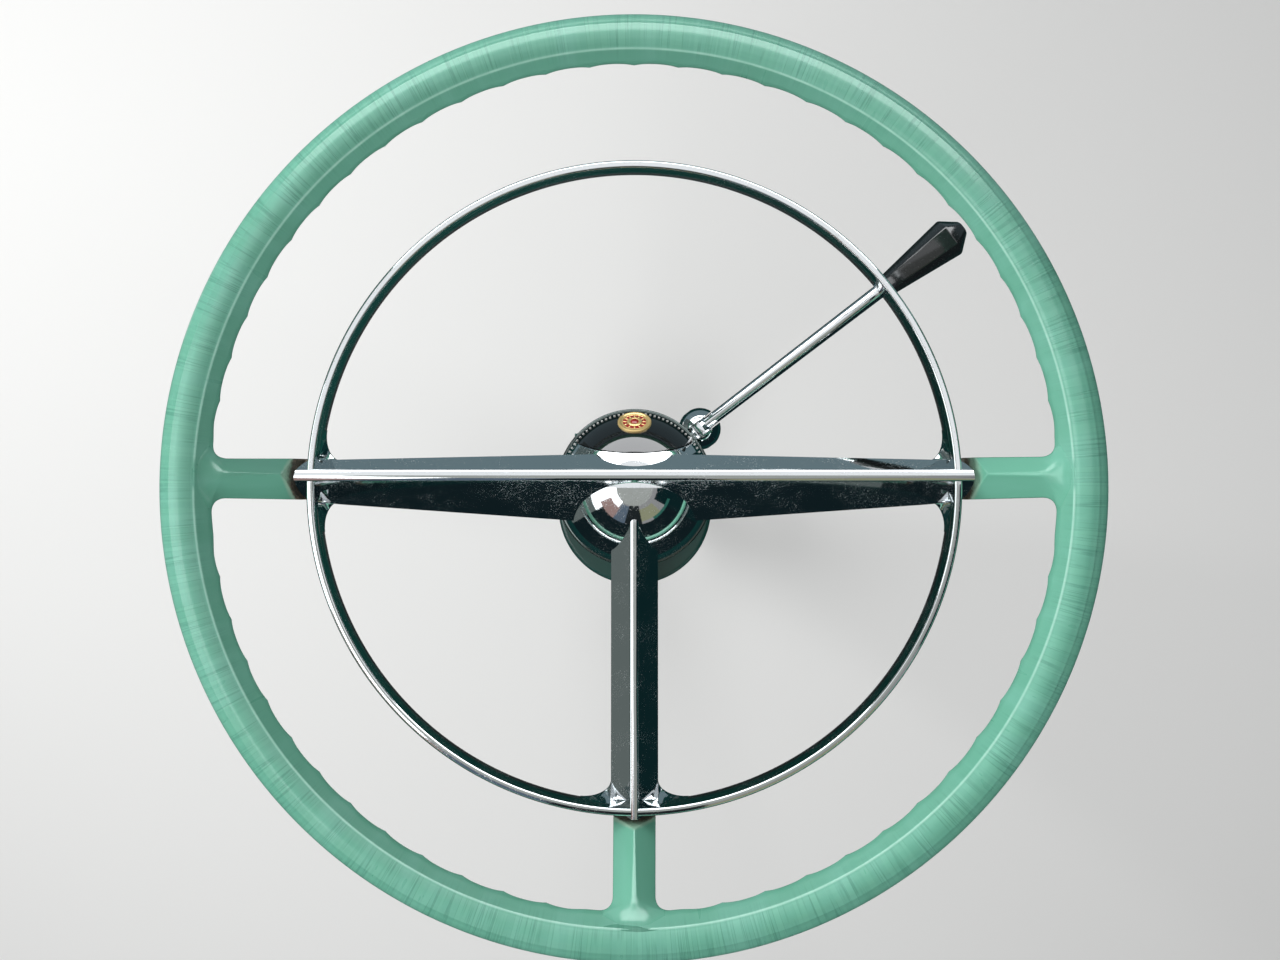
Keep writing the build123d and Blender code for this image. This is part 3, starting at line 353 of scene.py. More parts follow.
def bright_chrome(name="chrome", tone=(0.76, 0.78, 0.79), base=0.045):
    """Plated metal with fine scratches, dust and pitting."""
    finish = Finish(name, tone, base, 1.0)
    patch = finish.noise(finish.stretched(22, 14, 14), 3.0, 0.6)
    dust = finish.noise(finish.stretched(0.9, 0.9, 0.9), 4.0, 0.75)
    pits = finish.noise(finish.stretched(0.6, 0.6, 0.6), 1.0)
    scratch = finish.noise(finish.stretched(11, 0.35, 2), 2.0, 0.4)
    dusty = dust.step(0.55, 0.68) * patch.step(0.40, 0.62)
    speck = pits.step(0.68, 0.74) * patch.step(0.35, 0.6)
    line = (1.0 - abs(scratch - 0.5).step(0.0, 0.012)) * patch.step(0.45, 0.65)
    finish.feed("Roughness", base + dusty * 0.30 + speck * 0.3 + line * 0.25)
    color = finish.mix(speck * 0.7, tone, (0.30, 0.27, 0.23))
    finish.feed("Base Color", color)
    finish.feed("Metallic", 1.0 - dusty * 0.16)
    finish.bump(pits, 0.003)
    return finish.material


def lens_black():
    """Black glossy lens with faint polishing marks."""
    black = (0.006, 0.006, 0.007)
    finish = Finish("lens_black", black, 0.05, coat_weight=1.0, coat_roughness=0.02)
    haze = finish.noise(finish.stretched(3, 3, 3), 4.0, 0.6)
    finish.feed("Roughness", 0.04 + haze.step(0.5, 0.8) * 0.1)
    return finish.material


def knob_black():
    """Black moulded plastic with dust."""
    black = (0.012, 0.013, 0.014)
    finish = Finish("knob_black", black, 0.16, coat_weight=0.6, coat_roughness=0.1)
    dust = finish.noise(finish.stretched(1.2, 1.2, 1.2), 4.0, 0.7)
    finish.feed("Base Color", finish.mix(dust.step(0.58, 0.74) * 0.35, black, (0.10, 0.11, 0.11)))
    finish.feed("Roughness", 0.14 + dust.step(0.5, 0.8) * 0.3)
    return finish.material


def paint(name, color, chip, roughness=0.25, coat=0.6):
    """Enamel with scuffs that show the darker metal at wear spots."""
    finish = Finish(name, color, roughness, coat_weight=coat, coat_roughness=0.08)
    grain = finish.noise(finish.stretched(2.2, 2.2, 2.2), 4.0, 0.65)
    cloud = finish.noise(finish.stretched(30, 30, 60), 3.0)
    scuff = grain.step(0.66, 0.72) * cloud.step(0.52, 0.66)
    darker = tuple(c * 0.72 for c in color)
    worn = finish.mix(cloud.step(0.4, 0.7) * 0.5, color, darker)
    finish.feed("Base Color", finish.mix(scuff, worn, chip))
    finish.feed("Roughness", roughness + cloud * 0.12 + scuff * 0.3)
    finish.bump(grain, 0.02)
    return finish.material


def bare_metal(name, color, roughness, rust=0.0):
    """Machined metal with stains and some rust."""
    finish = Finish(name, color, roughness, 1.0)
    grain = finish.noise(finish.stretched(1.5, 1.5, 4), 4.0, 0.6)
    cloud = finish.noise(finish.stretched(12, 12, 12), 4.0, 0.6)
    stain = cloud.step(0.56 - rust * 0.1, 0.68) * rust
    darker = tuple(c * 0.6 for c in color)
    finish.feed("Base Color", finish.mix(stain, finish.mix(grain * 0.5, color, darker), (0.16, 0.075, 0.035)))
    finish.feed("Metallic", 1.0 - stain * 0.8)
    finish.feed("Roughness", roughness + grain * 0.15 + stain * 0.35)
    finish.bump(grain, 0.03)
    return finish.material


def rubber():
    """Matt black rubber with grey dust in the folds."""
    black = (0.022, 0.022, 0.023)
    finish = Finish("seal_rubber", black, 0.62)
    dust = finish.noise(finish.stretched(3, 3, 3), 4.0, 0.65)
    finish.feed("Base Color", finish.mix(dust.step(0.5, 0.75) * 0.6, black, (0.085, 0.08, 0.072)))
    finish.feed("Roughness", 0.55 + dust * 0.25)
    finish.bump(dust, 0.06)
    return finish.material


JADE = jade_plastic()
JADE_RIGHT = jade_plastic("jade_right_stub", SIDE_LIP, 1.6)
JADE_LEFT = jade_plastic("jade_left_stub", SIDE_LIP, 2.8)
JADE_BOTTOM = jade_plastic("jade_bottom_stub", BOTTOM_LIP, 2.7)
TOOTH = Finish("lens_teeth", (0.62, 0.62, 0.60), 0.25, coat_weight=0.5).material
CHROME = bright_chrome()
AGED_CHROME = bright_chrome("aged_chrome", (0.10, 0.12, 0.115), 0.16)
GILT = Finish("ornament_gilt", (0.82, 0.58, 0.24), 0.30, 0.55, coat_weight=0.4).material
ENAMEL = Finish("red_enamel", (0.42, 0.025, 0.02), 0.12, coat_weight=0.8, coat_roughness=0.05).material
LENS = lens_black()
KNOB = knob_black()
TEAL = paint("column_teal", (0.004, 0.052, 0.042), (0.10, 0.095, 0.09))
BLACK = paint("gloss_black", (0.012, 0.012, 0.013), (0.14, 0.12, 0.10), 0.3, 0.4)
STEEL = bare_metal("plain_steel", (0.46, 0.46, 0.45), 0.32, 0.3)
IRON = bare_metal("flange_iron", (0.20, 0.19, 0.18), 0.5, 0.8)
BRASS = bare_metal("bush_brass", (0.60, 0.46, 0.22), 0.3)
RUBBER = rubber()


def linked(name, mesh, material):
    """Makes an object of a bmesh, in the scene."""
    data = bpy.data.meshes.new(name)
    mesh.to_mesh(data)
    mesh.free()
    data.materials.append(material)
    made = bpy.data.objects.new(name, data)
    bpy.context.scene.collection.objects.link(made)
    return made


def place(name, mesh, body, finish, slot, stands_for=()):
    """Makes a piece of the part that rides with its body and may stand for a CAD node."""
    made = linked(name, mesh, finish)
    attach(made, body)
    if stands_for:
        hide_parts(*stands_for)


def shade(mesh, crease=32.0):
    """Smooth faces, with edges left sharp over a crease angle."""
    for face in mesh.faces:
        face.smooth = True
    for edge in mesh.edges:
        edge.smooth = edge.is_boundary or edge.calc_face_angle(0.0) < math.radians(crease)


def break_edges(mesh, angle, width, segments=3):
    """Rounds every edge that is sharper than an angle."""
    limit = math.radians(angle)
    sharp = [e for e in mesh.edges if len(e.link_faces) == 2 and e.calc_face_angle(0.0) > limit]
    bmesh.ops.bevel(mesh, geom=sharp, offset=width * MM, offset_type="OFFSET", affect="EDGES",
                    segments=segments, profile=0.5, material=-1, clamp_overlap=True)


def soften(name, body, finish, slot, width=0.0, crease=32.0):
    """A smooth copy of a CAD node, with its edges broken, that stands for it."""
    mesh = bmesh.new()
    mesh.from_mesh(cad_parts[name].data)
    bmesh.ops.remove_doubles(mesh, verts=mesh.verts, dist=WELD_DISTANCE * MM)
    bmesh.ops.dissolve_limit(mesh, angle_limit=math.radians(FLAT_ANGLE), use_dissolve_boundaries=False,
                             verts=mesh.verts, edges=mesh.edges)
    if width:
        break_edges(mesh, crease, width, 2)
    shade(mesh, crease)
    place(name + "_finished", mesh, body, finish, slot, (name,))


def arc_points(start, middle, end, count):
    """Points on the circle through three points, without the last."""
    (ax, ay), (bx, by), (cx, cy) = start, middle, end
    d = 2 * (ax * (by - cy) + bx * (cy - ay) + cx * (ay - by))
    aa, bb, cc = ax**2 + ay**2, bx**2 + by**2, cx**2 + cy**2
    ux = (aa * (by - cy) + bb * (cy - ay) + cc * (ay - by)) / d
    uy = (aa * (cx - bx) + bb * (ax - cx) + cc * (bx - ax)) / d
    radius = math.hypot(ax - ux, ay - uy)
    first, through, last = (math.atan2(y - uy, x - ux) for x, y in (start, middle, end))
    sweep = (last - first) % (2 * math.pi)
    if (through - first) % (2 * math.pi) > sweep:
        sweep -= 2 * math.pi
    angles = [first + sweep * i / count for i in range(count)]
    return [(ux + radius * math.cos(angle), uy + radius * math.sin(angle)) for angle in angles]


def spun(profile, steps, closed=True):
    """A profile of (radius, height) points in millimetres, spun round the column."""
    mesh = bmesh.new()
    verts = [mesh.verts.new((r * MM, 0, z * MM)) for r, z in profile]
    edges = [mesh.edges.new(pair) for pair in zip(verts, verts[1:])]
    if closed:
        edges.append(mesh.edges.new((verts[-1], verts[0])))
    bmesh.ops.spin(mesh, geom=verts + edges, cent=(0, 0, 0), axis=(0, 0, 1), angle=2 * math.pi, steps=steps,
                   use_merge=True)
    bmesh.ops.recalc_face_normals(mesh, faces=mesh.faces)
    return mesh


def skinned(loops):
    """Closed solid through loops of (x, y, z) points in millimetres, its end loops filled."""
    mesh = bmesh.new()
    around = len(loops[0])
    bmesh.ops.create_grid(mesh, x_segments=around, y_segments=len(loops) - 1, size=1.0)
    mesh.verts.ensure_lookup_table()
    for row, loop in enumerate(loops):
        for column in range(around + 1):
            mesh.verts[row * (around + 1) + column].co = Vector(loop[column % around]) * MM
    bmesh.ops.remove_doubles(mesh, verts=mesh.verts, dist=1e-8)
    bmesh.ops.holes_fill(mesh, edges=[e for e in mesh.edges if e.is_boundary], sides=0)
    bmesh.ops.recalc_face_normals(mesh, faces=mesh.faces)
    return mesh


def to_place(mesh, turn, flip=1):
    """Brings a mesh made along +X to its place round the wheel, flipped first where flip is -1."""
    bmesh.ops.scale(mesh, vec=(flip, 1, 1), verts=mesh.verts)
    turned_by = Matrix.Rotation(math.radians(turn), 3, "Z")
    bmesh.ops.rotate(mesh, cent=(0, 0, 0), matrix=turned_by, verts=mesh.verts)
    bmesh.ops.recalc_face_normals(mesh, faces=mesh.faces)


# Rim: crowned front between two ridges, finger grips pressed into the back of its inner edge
def rim_outline():
    """Closed section of the rim, as (radius, height) points."""
    inner = (RIM_INNER, RIM_PLANE - RIM_INNER_DROP)
    ridge = (RIM_INNER + RIDGE_INSET, RIM_PLANE + RIDGE_RISE)
    shoulder = (RIM_INNER + SHOULDER_INSET, RIM_PLANE + SHOULDER_RISE)
    crown = ((ridge[0] + shoulder[0]) / 2, RIM_PLANE + SHOULDER_RISE + 0.35)
    outer = (WHEEL_RADIUS, RIM_PLANE - 1)
    back = (RIM_INNER + RIM_WIDTH * 0.45, RIM_PLANE - RIM_DEPTH / 2)
    facet = [
        (inner[0] + (ridge[0] - inner[0]) * t, inner[1] + (ridge[1] - inner[1]) * t) for t in (0, 0.3, 0.6)
    ]
    near_ridge = (ridge[0] - 0.22, ridge[1] - 0.85)
    past_ridge = (ridge[0] + 0.75, ridge[1] + 0.18)
    near_shoulder = (shoulder[0] - 1.0, shoulder[1] + 0.10)
    past_shoulder = (shoulder[0] + 0.9, shoulder[1] - 0.75)
    return (
        facet
        + arc_points(near_ridge, (ridge[0] + 0.10, ridge[1] - 0.12), past_ridge, 5)
        + arc_points(past_ridge, crown, near_shoulder, 9)
        + arc_points(near_shoulder, (shoulder[0] + 0.12, shoulder[1] - 0.16), past_shoulder, 5)
        + arc_points(past_shoulder, (RIM_INNER + RIM_WIDTH * 0.88, RIM_PLANE + RIM_DEPTH * 0.16), outer, 10)
        + arc_points(outer, (RIM_INNER + RIM_WIDTH * 0.83, RIM_PLANE - RIM_DEPTH * 0.36), back, 10)
        + arc_points(back, (RIM_INNER + RIM_WIDTH * 0.13, RIM_PLANE - RIM_DEPTH * 0.37), inner, 10)
    )


RIM_OUTLINE = np.array(rim_outline())


def press_grips(mesh):
    """Presses the finger grips into the rim, apart from beside the stubs."""
    for vertex in mesh.verts:
        radius = math.hypot(vertex.co.x, vertex.co.y) / MM
        height = vertex.co.z / MM - RIM_PLANE
        reach = math.hypot(radius - RIM_INNER - GRIP_MIDDLE[0], height + GRIP_MIDDLE[1])
        if reach > GRIP_REACH:
            continue
        angle = math.degrees(math.atan2(vertex.co.y, vertex.co.x))
        along = angle * GRIP_COUNT / 360 % 1.0
        beside = min(abs((angle - stub + 180) % 360 - 180) for stub in STUB_ANGLES)
        fade = (1 + math.cos(math.pi * reach / GRIP_REACH)) / 2
        press = GRIP_DEPTH * (1 - (2 * along - 1) ** 2) * fade
        press *= min(max(beside / 3 - 2, 0), 1)
        outward = Vector((vertex.co.x, vertex.co.y, 0)).normalized()
        vertex.co += (outward * GRIP_PUSH[0] + Vector((0, 0, GRIP_PUSH[1]))) * press * MM


rim = spun([tuple(point) for point in RIM_OUTLINE], GRIP_COUNT * 12)
press_grips(rim)
shade(rim, 60)
place("rim_ring", rim, "wheel", JADE, "jade_plastic", ("rim",))


# Stubs, worked as one skin that flows into the rim with a fillet
def smooth_max(first, second, rounding):
    """Larger of two distances, with the edge between them rounded."""
    share = np.clip(0.5 + (first - second) / (2 * rounding), 0, 1)
    return second + (first - second) * share + rounding * share * (1 - share)


def rim_distance(points):
    """Signed distance of points to the rim's surface."""
    flat = np.stack((np.hypot(points[:, 0], points[:, 1]), points[:, 2]), axis=1)
    nearest = np.full(len(flat), 1e9)
    inside = np.zeros(len(flat), bool)
    for start, end in zip(RIM_OUTLINE, np.roll(RIM_OUTLINE, -1, axis=0)):
        edge, reach = end - start, flat - start
        share = np.clip(reach @ edge / (edge @ edge), 0, 1)
        nearest = np.minimum(nearest, np.hypot(*(reach - share[:, None] * edge).T))
        if edge[1]:
            crossed = (start[1] > flat[:, 1]) != (end[1] > flat[:, 1])
            inside ^= crossed & (flat[:, 0] < edge[0] * (flat[:, 1] - start[1]) / edge[1] + start[0])
    return np.where(inside, -nearest, nearest)


def fillet_at(points):
    """Size of the fillet round a stub, smaller at the front of the rim."""
    low, high = FILLET_EASE_SPAN
    return STUB_FILLET - FILLET_EASE * np.clip((points[:, 2] - low) / (high - low), 0, 1)


class Stub:
    """A stub along +X: roof with a crest strip, tapered sides, rising back and steep lip."""

    def __init__(self, low, high, crest, lip, floor):
        self.low, self.high, self.crest, self.lip, self.floor = low, high, crest, lip, floor
        self.start = CREST_FOOT_HEIGHT + (lip - CREST_FOOT_RADIUS) * CREST_RISE
        self.back = floor - POCKET_WALL
        rise = (CREST_END - self.start) / (STUB_FRONT - lip)
        swell = STRIP_WIDTH / 2 * STUB_SLOPE
        ridge = Vector((STUB_FRONT - lip, 0, CREST_END - self.start + swell))
        foot = Vector((lip, crest, self.start))
        # Each face: a point on it, its outward normal and how round its edges are
        self.faces = [
            (foot, ridge.cross(Vector((0, 1, -STUB_SLOPE))), 0.7),
            (foot, Vector((0, -1, -STUB_SLOPE)).cross(ridge), 0.7),
            (foot, Vector((-rise, 0, 1)), 0.35),
            (Vector((lip, low[0], 0)), Vector((low[1] - low[0], lip - STUB_FRONT, 0)), 0.9),
            (Vector((lip, high[0], 0)), Vector((high[0] - high[1], STUB_FRONT - lip, 0)), 0.9),
            (Vector((lip, 0, self.back)), Vector((BACK_END - self.back, 0, lip - STUB_END)), 0.9),
            (Vector((lip, 0, floor)), Vector((-math.sin(LIP_ANGLE), 0, math.cos(LIP_ANGLE))), 0.45),
            (Vector((0, 0, RIM_PLANE + RIDGE_RISE)), Vector((0, 0, 1)), 1.5),
            (Vector((RIM_INNER + 9, 0, 0)), Vector((1, 0, 0)), 2.0),
        ]

    def distance(self, points):
        """Signed distance to the stub alone."""
        result = None
        for foot, normal, rounding in self.faces:
            face = (points - np.array(foot)) @ np.array(normal.normalized())
            result = face if result is None else smooth_max(result, face, rounding)
        return result

    def joined(self, points):
        """Signed distance to the stub and the rim with the fillet between them."""
        return -smooth_max(-self.distance(points), -rim_distance(points), fillet_at(points))

    def normals(self, points):
        """Unit normals of the joined surface at points."""
        step = 0.01
        slopes = [self.joined(points + step * axis) - self.joined(points - step * axis) for axis in np.eye(3)]
        normals = np.stack(slopes, axis=1)
        return normals / np.maximum(np.linalg.norm(normals, axis=1), 1e-9)[:, None]

    def settle(self, points, rounds):
        """Moves points onto the joined surface."""
        for _ in range(rounds):
            points = points - self.normals(points) * self.joined(points)[:, None] * 0.9
        return points

    def corners(self, x):
        """Corners (y, z) of the section at a distance x from the column."""
        share = (x - self.lip) / (STUB_FRONT - self.lip)
        low = self.low[0] + (self.low[1] - self.low[0]) * share
        high = self.high[0] + (self.high[1] - self.high[0]) * share
        strip = max(STRIP_WIDTH / 2 * share, 0.02)
        crest_z = self.start + (CREST_END - self.start) * share
        back_z = self.back + (BACK_END - self.back) * (x - self.lip) / (STUB_END - self.lip)
        low_z = crest_z - STUB_SLOPE * (self.crest - strip - low)
        high_z = crest_z - STUB_SLOPE * (high - self.crest - strip)
        return [
            (low, back_z), (low, low_z), (self.crest - strip, crest_z),
            (self.crest + strip, crest_z), (high, high_z), (high, back_z),
        ]

    def loop(self, x_of):
        """Points round the stub at the distance that a function gives for each height."""
        points = []
        corners = self.corners(self.lip + 12)
        spans = [math.dist(a, b) for a, b in zip(corners, corners[1:] + corners[:1])]
        for side, span in enumerate(spans):
            count = max(round(LOOP_POINTS * span / sum(spans)), 2)
            for i in range(count):
                x = self.lip + 12
                for _ in range(6):
                    around = self.corners(x)
                    (y0, z0), (y1, z1) = around[side], around[(side + 1) % 6]
                    y, z = y0 + (y1 - y0) * i / count, z0 + (z1 - z0) * i / count
                    x = x_of(y, z)
                points.append((x, y, z))
        return np.array(points)

    def skin(self):
        """Loops of points from the middle of the lip over the stub and onto the rim."""
        def lip_x(y, z):
            return self.lip + (z - self.floor) / math.tan(LIP_ANGLE)

        def front_x(y, z):
            share = min(max((z - FRONT_FOOT) / FRONT_RISE, 0), 1)
            radius = RIM_INNER + 1 - FRONT_BOW * share * (1 - share)
            return math.sqrt(radius**2 - y * y) - FILLET_START

        first, last = self.loop(lip_x), self.loop(front_x)
        middle = first.mean(axis=0)
        loops = [self.settle(middle + (first - middle) * share, 4) for share in LIP_SHARES]
        for step in range(STUB_STEPS + 1):
            share = (step / STUB_STEPS) ** STUB_CROWDING
            loops.append(self.settle(first + (last - first) * share, 5))
        middle_y = (self.low[1] + self.high[1]) / 2
        across = np.where(last[:, 2] > last[:, 2].mean(), last[:, 1] - self.crest, last[:, 1] - middle_y)
        across = np.clip(across / (self.high[1] - middle_y), -1, 1)
        points = loops[-1]
        for _ in range(FLOW_STEPS):
            heading = np.stack((np.ones(len(points)), FLOW_SPREAD * across, np.zeros(len(points))), axis=1)
            normals = self.normals(points)
            heading -= normals * np.sum(heading * normals, axis=1)[:, None]
            heading /= np.maximum(np.linalg.norm(heading, axis=1), 1e-6)[:, None]
            points = self.settle(points + heading * FLOW_LENGTH / FLOW_STEPS, 3)
            # Just over the rim up to the fillet's end, just under it beyond
            apart = self.distance(points) - rim_distance(points) - fillet_at(points)
            loops.append(points + normals * (SKIN_OVER - SKIN_DIVE * np.clip(apart + 0.5, 0, 1))[:, None])
        return loops


def stub_piece(name, stub, finish, turn, flip):
    """The stub's skin as a closed mesh in its place."""
    mesh = skinned(stub.skin())
    to_place(mesh, turn, flip)
    shade(mesh, 60)
    place(name, mesh, "wheel", finish, "jade_plastic")


def tongue(name, stub, finish, turn, flip):
    """Floor of the pocket under the bar's nose, down to the spoke behind it."""
    mesh = bmesh.new()
    start, end = stub.lip - TONGUE_LENGTH, stub.lip + 4
    size = Vector((end - start, stub.high[0] - stub.low[0] - 1.0, TONGUE_DEPTH))
    middle = Vector(((start + end) / 2, (stub.low[0] + stub.high[0]) / 2, stub.floor - 0.3 - TONGUE_DEPTH / 2))
    made = bmesh.ops.create_cube(mesh, size=1.0)["verts"]
    bmesh.ops.scale(mesh, vec=size * MM, verts=made)
    bmesh.ops.translate(mesh, verts=made, vec=middle * MM)
    for vertex in made:
        if vertex.co.z < (stub.floor - 1) * MM:
            vertex.co.z += (vertex.co.x / MM - start) * TONGUE_TAPER * MM
    bmesh.ops.bevel(mesh, geom=mesh.edges[:], offset=TONGUE_ROUND * MM, offset_type="OFFSET", affect="EDGES",
                    segments=4, profile=0.5, material=-1, clamp_overlap=True)
    to_place(mesh, turn, flip)
    shade(mesh, 60)
    place(name, mesh, "wheel", finish, "jade_plastic")


# Each stub: lower side and upper side at the lip and at the rim, crest, lip, pocket floor, finish, turn, flip
for name, low, high, crest, lip, floor_z, finish, turn, flip in (
    ("stub_right", (-6.2, -4.2), (16.0, 15.6), 7.2, SIDE_LIP, 836.0, JADE_RIGHT, 0, 1),
    ("stub_left", (-6.2, -4.6), (15.4, 14.6), 7.0, SIDE_LIP, 836.0, JADE_LEFT, 0, -1),
    ("stub_bottom", (-11.2, -10.4), (11.2, 10.4), 0.0, BOTTOM_LIP, 832.5, JADE_BOTTOM, -90, 1),
):
    stub = Stub(low, high, crest, lip, floor_z)
    stub_piece(name, stub, finish, turn, flip)
    tongue(name + "_tongue", stub, finish, turn, flip)


# Plated casting: double side bar, drop bar, dome, press ring and webs
def bar_section(low, high, crest, width, crest_z, drops):
    """Roof section (y, z) of a bar, round its crest bead and thin edges."""
    shoulder_z, flat = crest_z - BAR_CREST_ROUND, width / 2 - 0.45
    bead = arc_points((crest + flat, crest_z - 0.55), (crest, crest_z), (crest - flat, crest_z - 0.55), 10)
    low_z, high_z = crest_z - drops[0], crest_z - drops[1]
    return (
        [(crest + width / 2, shoulder_z), (crest + width / 2 - 0.12, shoulder_z + 0.5)] + bead
        + [(crest - flat, crest_z - 0.55), (crest - width / 2 + 0.12, shoulder_z + 0.5),
           (crest - width / 2, shoulder_z), (low, low_z), (low, low_z - BAR_LIP), (high, high_z - BAR_LIP),
           (high, high_z)]
    )


def cut(mesh, point, normal):
    """Cuts away what lies beyond a plane and closes the cut."""
    parts = mesh.verts[:] + mesh.edges[:] + mesh.faces[:]
    made = bmesh.ops.bisect_plane(mesh, geom=parts, dist=1e-7, plane_co=Vector(point) * MM,
                                  plane_no=Vector(normal), clear_outer=True)["geom_cut"]
    bmesh.ops.edgeloop_fill(mesh, edges=[e for e in made if isinstance(e, bmesh.types.BMEdge)])


def lofted(stations):
    """Closed solid through sections; each station is a distance x and its (y, z) points."""
    return skinned([[(x, y, z) for y, z in section] for x, section in stations])


def between(first, second, share):
    """Section at a share of the way from the first to the second."""
    return [(a + (c - a) * share, b + (d - b) * share) for (a, b), (c, d) in zip(first, second)]


def round_nose(mesh, tip, middle, half, side):
    """Cuts a bar's end to a half ellipse, seen from the front."""
    for degrees in range(-84, 85, 12):
        lean = math.radians(degrees)
        reach = math.hypot(BAR_NOSE * math.cos(lean), half * math.sin(lean))
        point = (side * (tip - BAR_NOSE + reach * math.cos(lean)), middle + reach * math.sin(lean), 0)
        cut(mesh, point, (side * math.cos(lean), math.sin(lean), 0))


side_hub = bar_section(*BAR_HUB_SPAN, BAR_CREST, BAR_CREST_WIDTH, CREST, BAR_HUB_DROPS)
side_end = bar_section(*BAR_END_SPAN, BAR_CREST, BAR_CREST_WIDTH, CREST, BAR_END_DROPS)
side_bar = lofted([
    (BAR_REACH * t / BAR_STATIONS, between(side_hub, side_end, abs(t) / BAR_STATIONS))
    for t in range(-BAR_STATIONS, BAR_STATIONS + 1)
])
for side in (-1, 1):
    round_nose(side_bar, BAR_REACH, sum(BAR_END_SPAN) / 2, (BAR_END_SPAN[1] - BAR_END_SPAN[0]) / 2, side)
break_edges(side_bar, EDGE_ANGLE, EDGE_BREAK)
shade(side_bar, FACET_CREASE)
place("side_bars", side_bar, "wheel", CHROME, "chrome", ("horn_ring",))

half_drop = DROP_WIDTH / 2
drop_hub, drop_end = (
    bar_section(-half_drop, half_drop, 0, DROP_CREST_WIDTH, crest, (DROP_FALL, DROP_FALL))
    for crest in DROP_CRESTS
)
drop_bar = lofted([
    (DROP_REACH * t / BAR_STATIONS, between(drop_hub, drop_end, t / BAR_STATIONS))
    for t in range(BAR_STATIONS + 1)
])
round_nose(drop_bar, DROP_REACH, 0, half_drop, 1)
to_place(drop_bar, -90)
break_edges(drop_bar, EDGE_ANGLE, EDGE_BREAK)
shade(drop_bar, FACET_CREASE)
place("drop_bar", drop_bar, "wheel", CHROME, "chrome")

ring_inner = RING_RADIUS - RING_WALL
ring_foot = RING_FRONT - RING_DEPTH
ring_profile = []
for outward, forward, start in ((1, 1, 0), (-1, 1, 90), (-1, -1, 180), (1, -1, 270)):
    corner_radius = RING_RADIUS - RING_WALL / 2 + outward * (RING_WALL / 2 - RING_EDGE)
    corner_height = RING_FRONT - RING_DEPTH / 2 + forward * (RING_DEPTH / 2 - RING_EDGE)
    for degrees in (0, 22.5, 45, 67.5, 90):
        angle = math.radians(start + degrees)
        point = (corner_radius + RING_EDGE * math.cos(angle), corner_height + RING_EDGE * math.sin(angle))
        ring_profile.append(point)
press_ring = spun(ring_profile, 480)
shade(press_ring, 60)
place("press_ring", press_ring, "wheel", CHROME, "chrome")


def web(edge, low_z, turn, name):
    """Hollow gusset that runs out on the bar's slope, on the ring's inner wall and at the bar's edge."""
    side = math.copysign(1, edge)
    loops = []
    for row in range(WEB_STEPS + 1):
        across = -WEB_INSIDE + (WEB_ACROSS + WEB_INSIDE) * row / WEB_STEPS
        y = edge + side * across
        wall = math.sqrt(ring_inner**2 - y * y) + WEB_SINK
        out, within = max(across, 0) / WEB_ACROSS, max(-across, 0) / WEB_INSIDE
        quarter_round = 1 - math.sqrt(max(1 - (1 - out) ** 2, 0))
        reach = WEB_ALONG * quarter_round * (1 - within) ** 3
        foot = low_z + (ring_foot + 0.4 - low_z) * out
        under = foot - 0.2 - 1.8 * (1 - out)
        section = [(0, WEB_TOP), (WEB_SINK, WEB_TOP)]
        section += [(WEB_SINK + reach * along, foot + (WEB_TOP - foot) * up) for along, up in WEB_HOLLOW]
        section += [(WEB_SINK + reach, foot), (WEB_SINK + reach, under), (0, under)]
        loops.append([(wall - along, y, z) for along, z in section])
    mesh = skinned(loops)
    to_place(mesh, turn)
    shade(mesh, 35)
    place(name, mesh, "wheel", CHROME, "chrome")


# Each web: bar's edge, height of the foot there, turn
for number, (edge, low_z, turn) in enumerate((
    (half_drop, 835.8, -90), (-half_drop, 835.8, -90), (BAR_END_SPAN[1], 838.6, 0), (BAR_END_SPAN[0], 838.6, 0),
    (-BAR_END_SPAN[1], 838.6, 180), (-BAR_END_SPAN[0], 838.6, 180),
)):
    web(edge, low_z, turn, f"web_{number + 1}")


# Hub: chrome dome below the seam and black lens above it
def dome_mesh(foot_round, steps=240):
    """The dome turned about the column, with a rounded foot."""
    start = math.asin((DOME_BASE + foot_round - DOME_CENTRE) / DOME_SPHERE)
    angles = [start + (math.pi / 2 - start) * t / 40 for t in range(40)]
    arc = [(DOME_SPHERE * math.cos(a), DOME_CENTRE + DOME_SPHERE * math.sin(a)) for a in angles]
    foot = arc[0][0] - foot_round
    profile = [(0, DOME_BASE), (foot, DOME_BASE), (foot + foot_round * 0.7, DOME_BASE + foot_round * 0.3)]
    return spun(profile + arc + [(0, DOME_CENTRE + DOME_SPHERE)], steps, closed=False)


seam_normal = Vector((0, DOME_RISE, SEAM_FOOT - SEAM_HEAD)).normalized()
seam_point = Vector((0, SEAM_FOOT, DOME_BASE))
chrome_dome = dome_mesh(1.2)
cut(chrome_dome, seam_point - seam_normal * SEAM_HALF_GAP, seam_normal)
break_edges(chrome_dome, 30, 0.3, 2)
shade(chrome_dome, 40)
place("hub_dome", chrome_dome, "wheel", CHROME, "chrome")

black_lens = dome_mesh(0.8)
cut(black_lens, seam_point + seam_normal * SEAM_HALF_GAP, -seam_normal)
break_edges(black_lens, 30, 0.3, 2)
shade(black_lens, 40)
place("lens", black_lens, "wheel", LENS, "black_lens", ("medallion",))

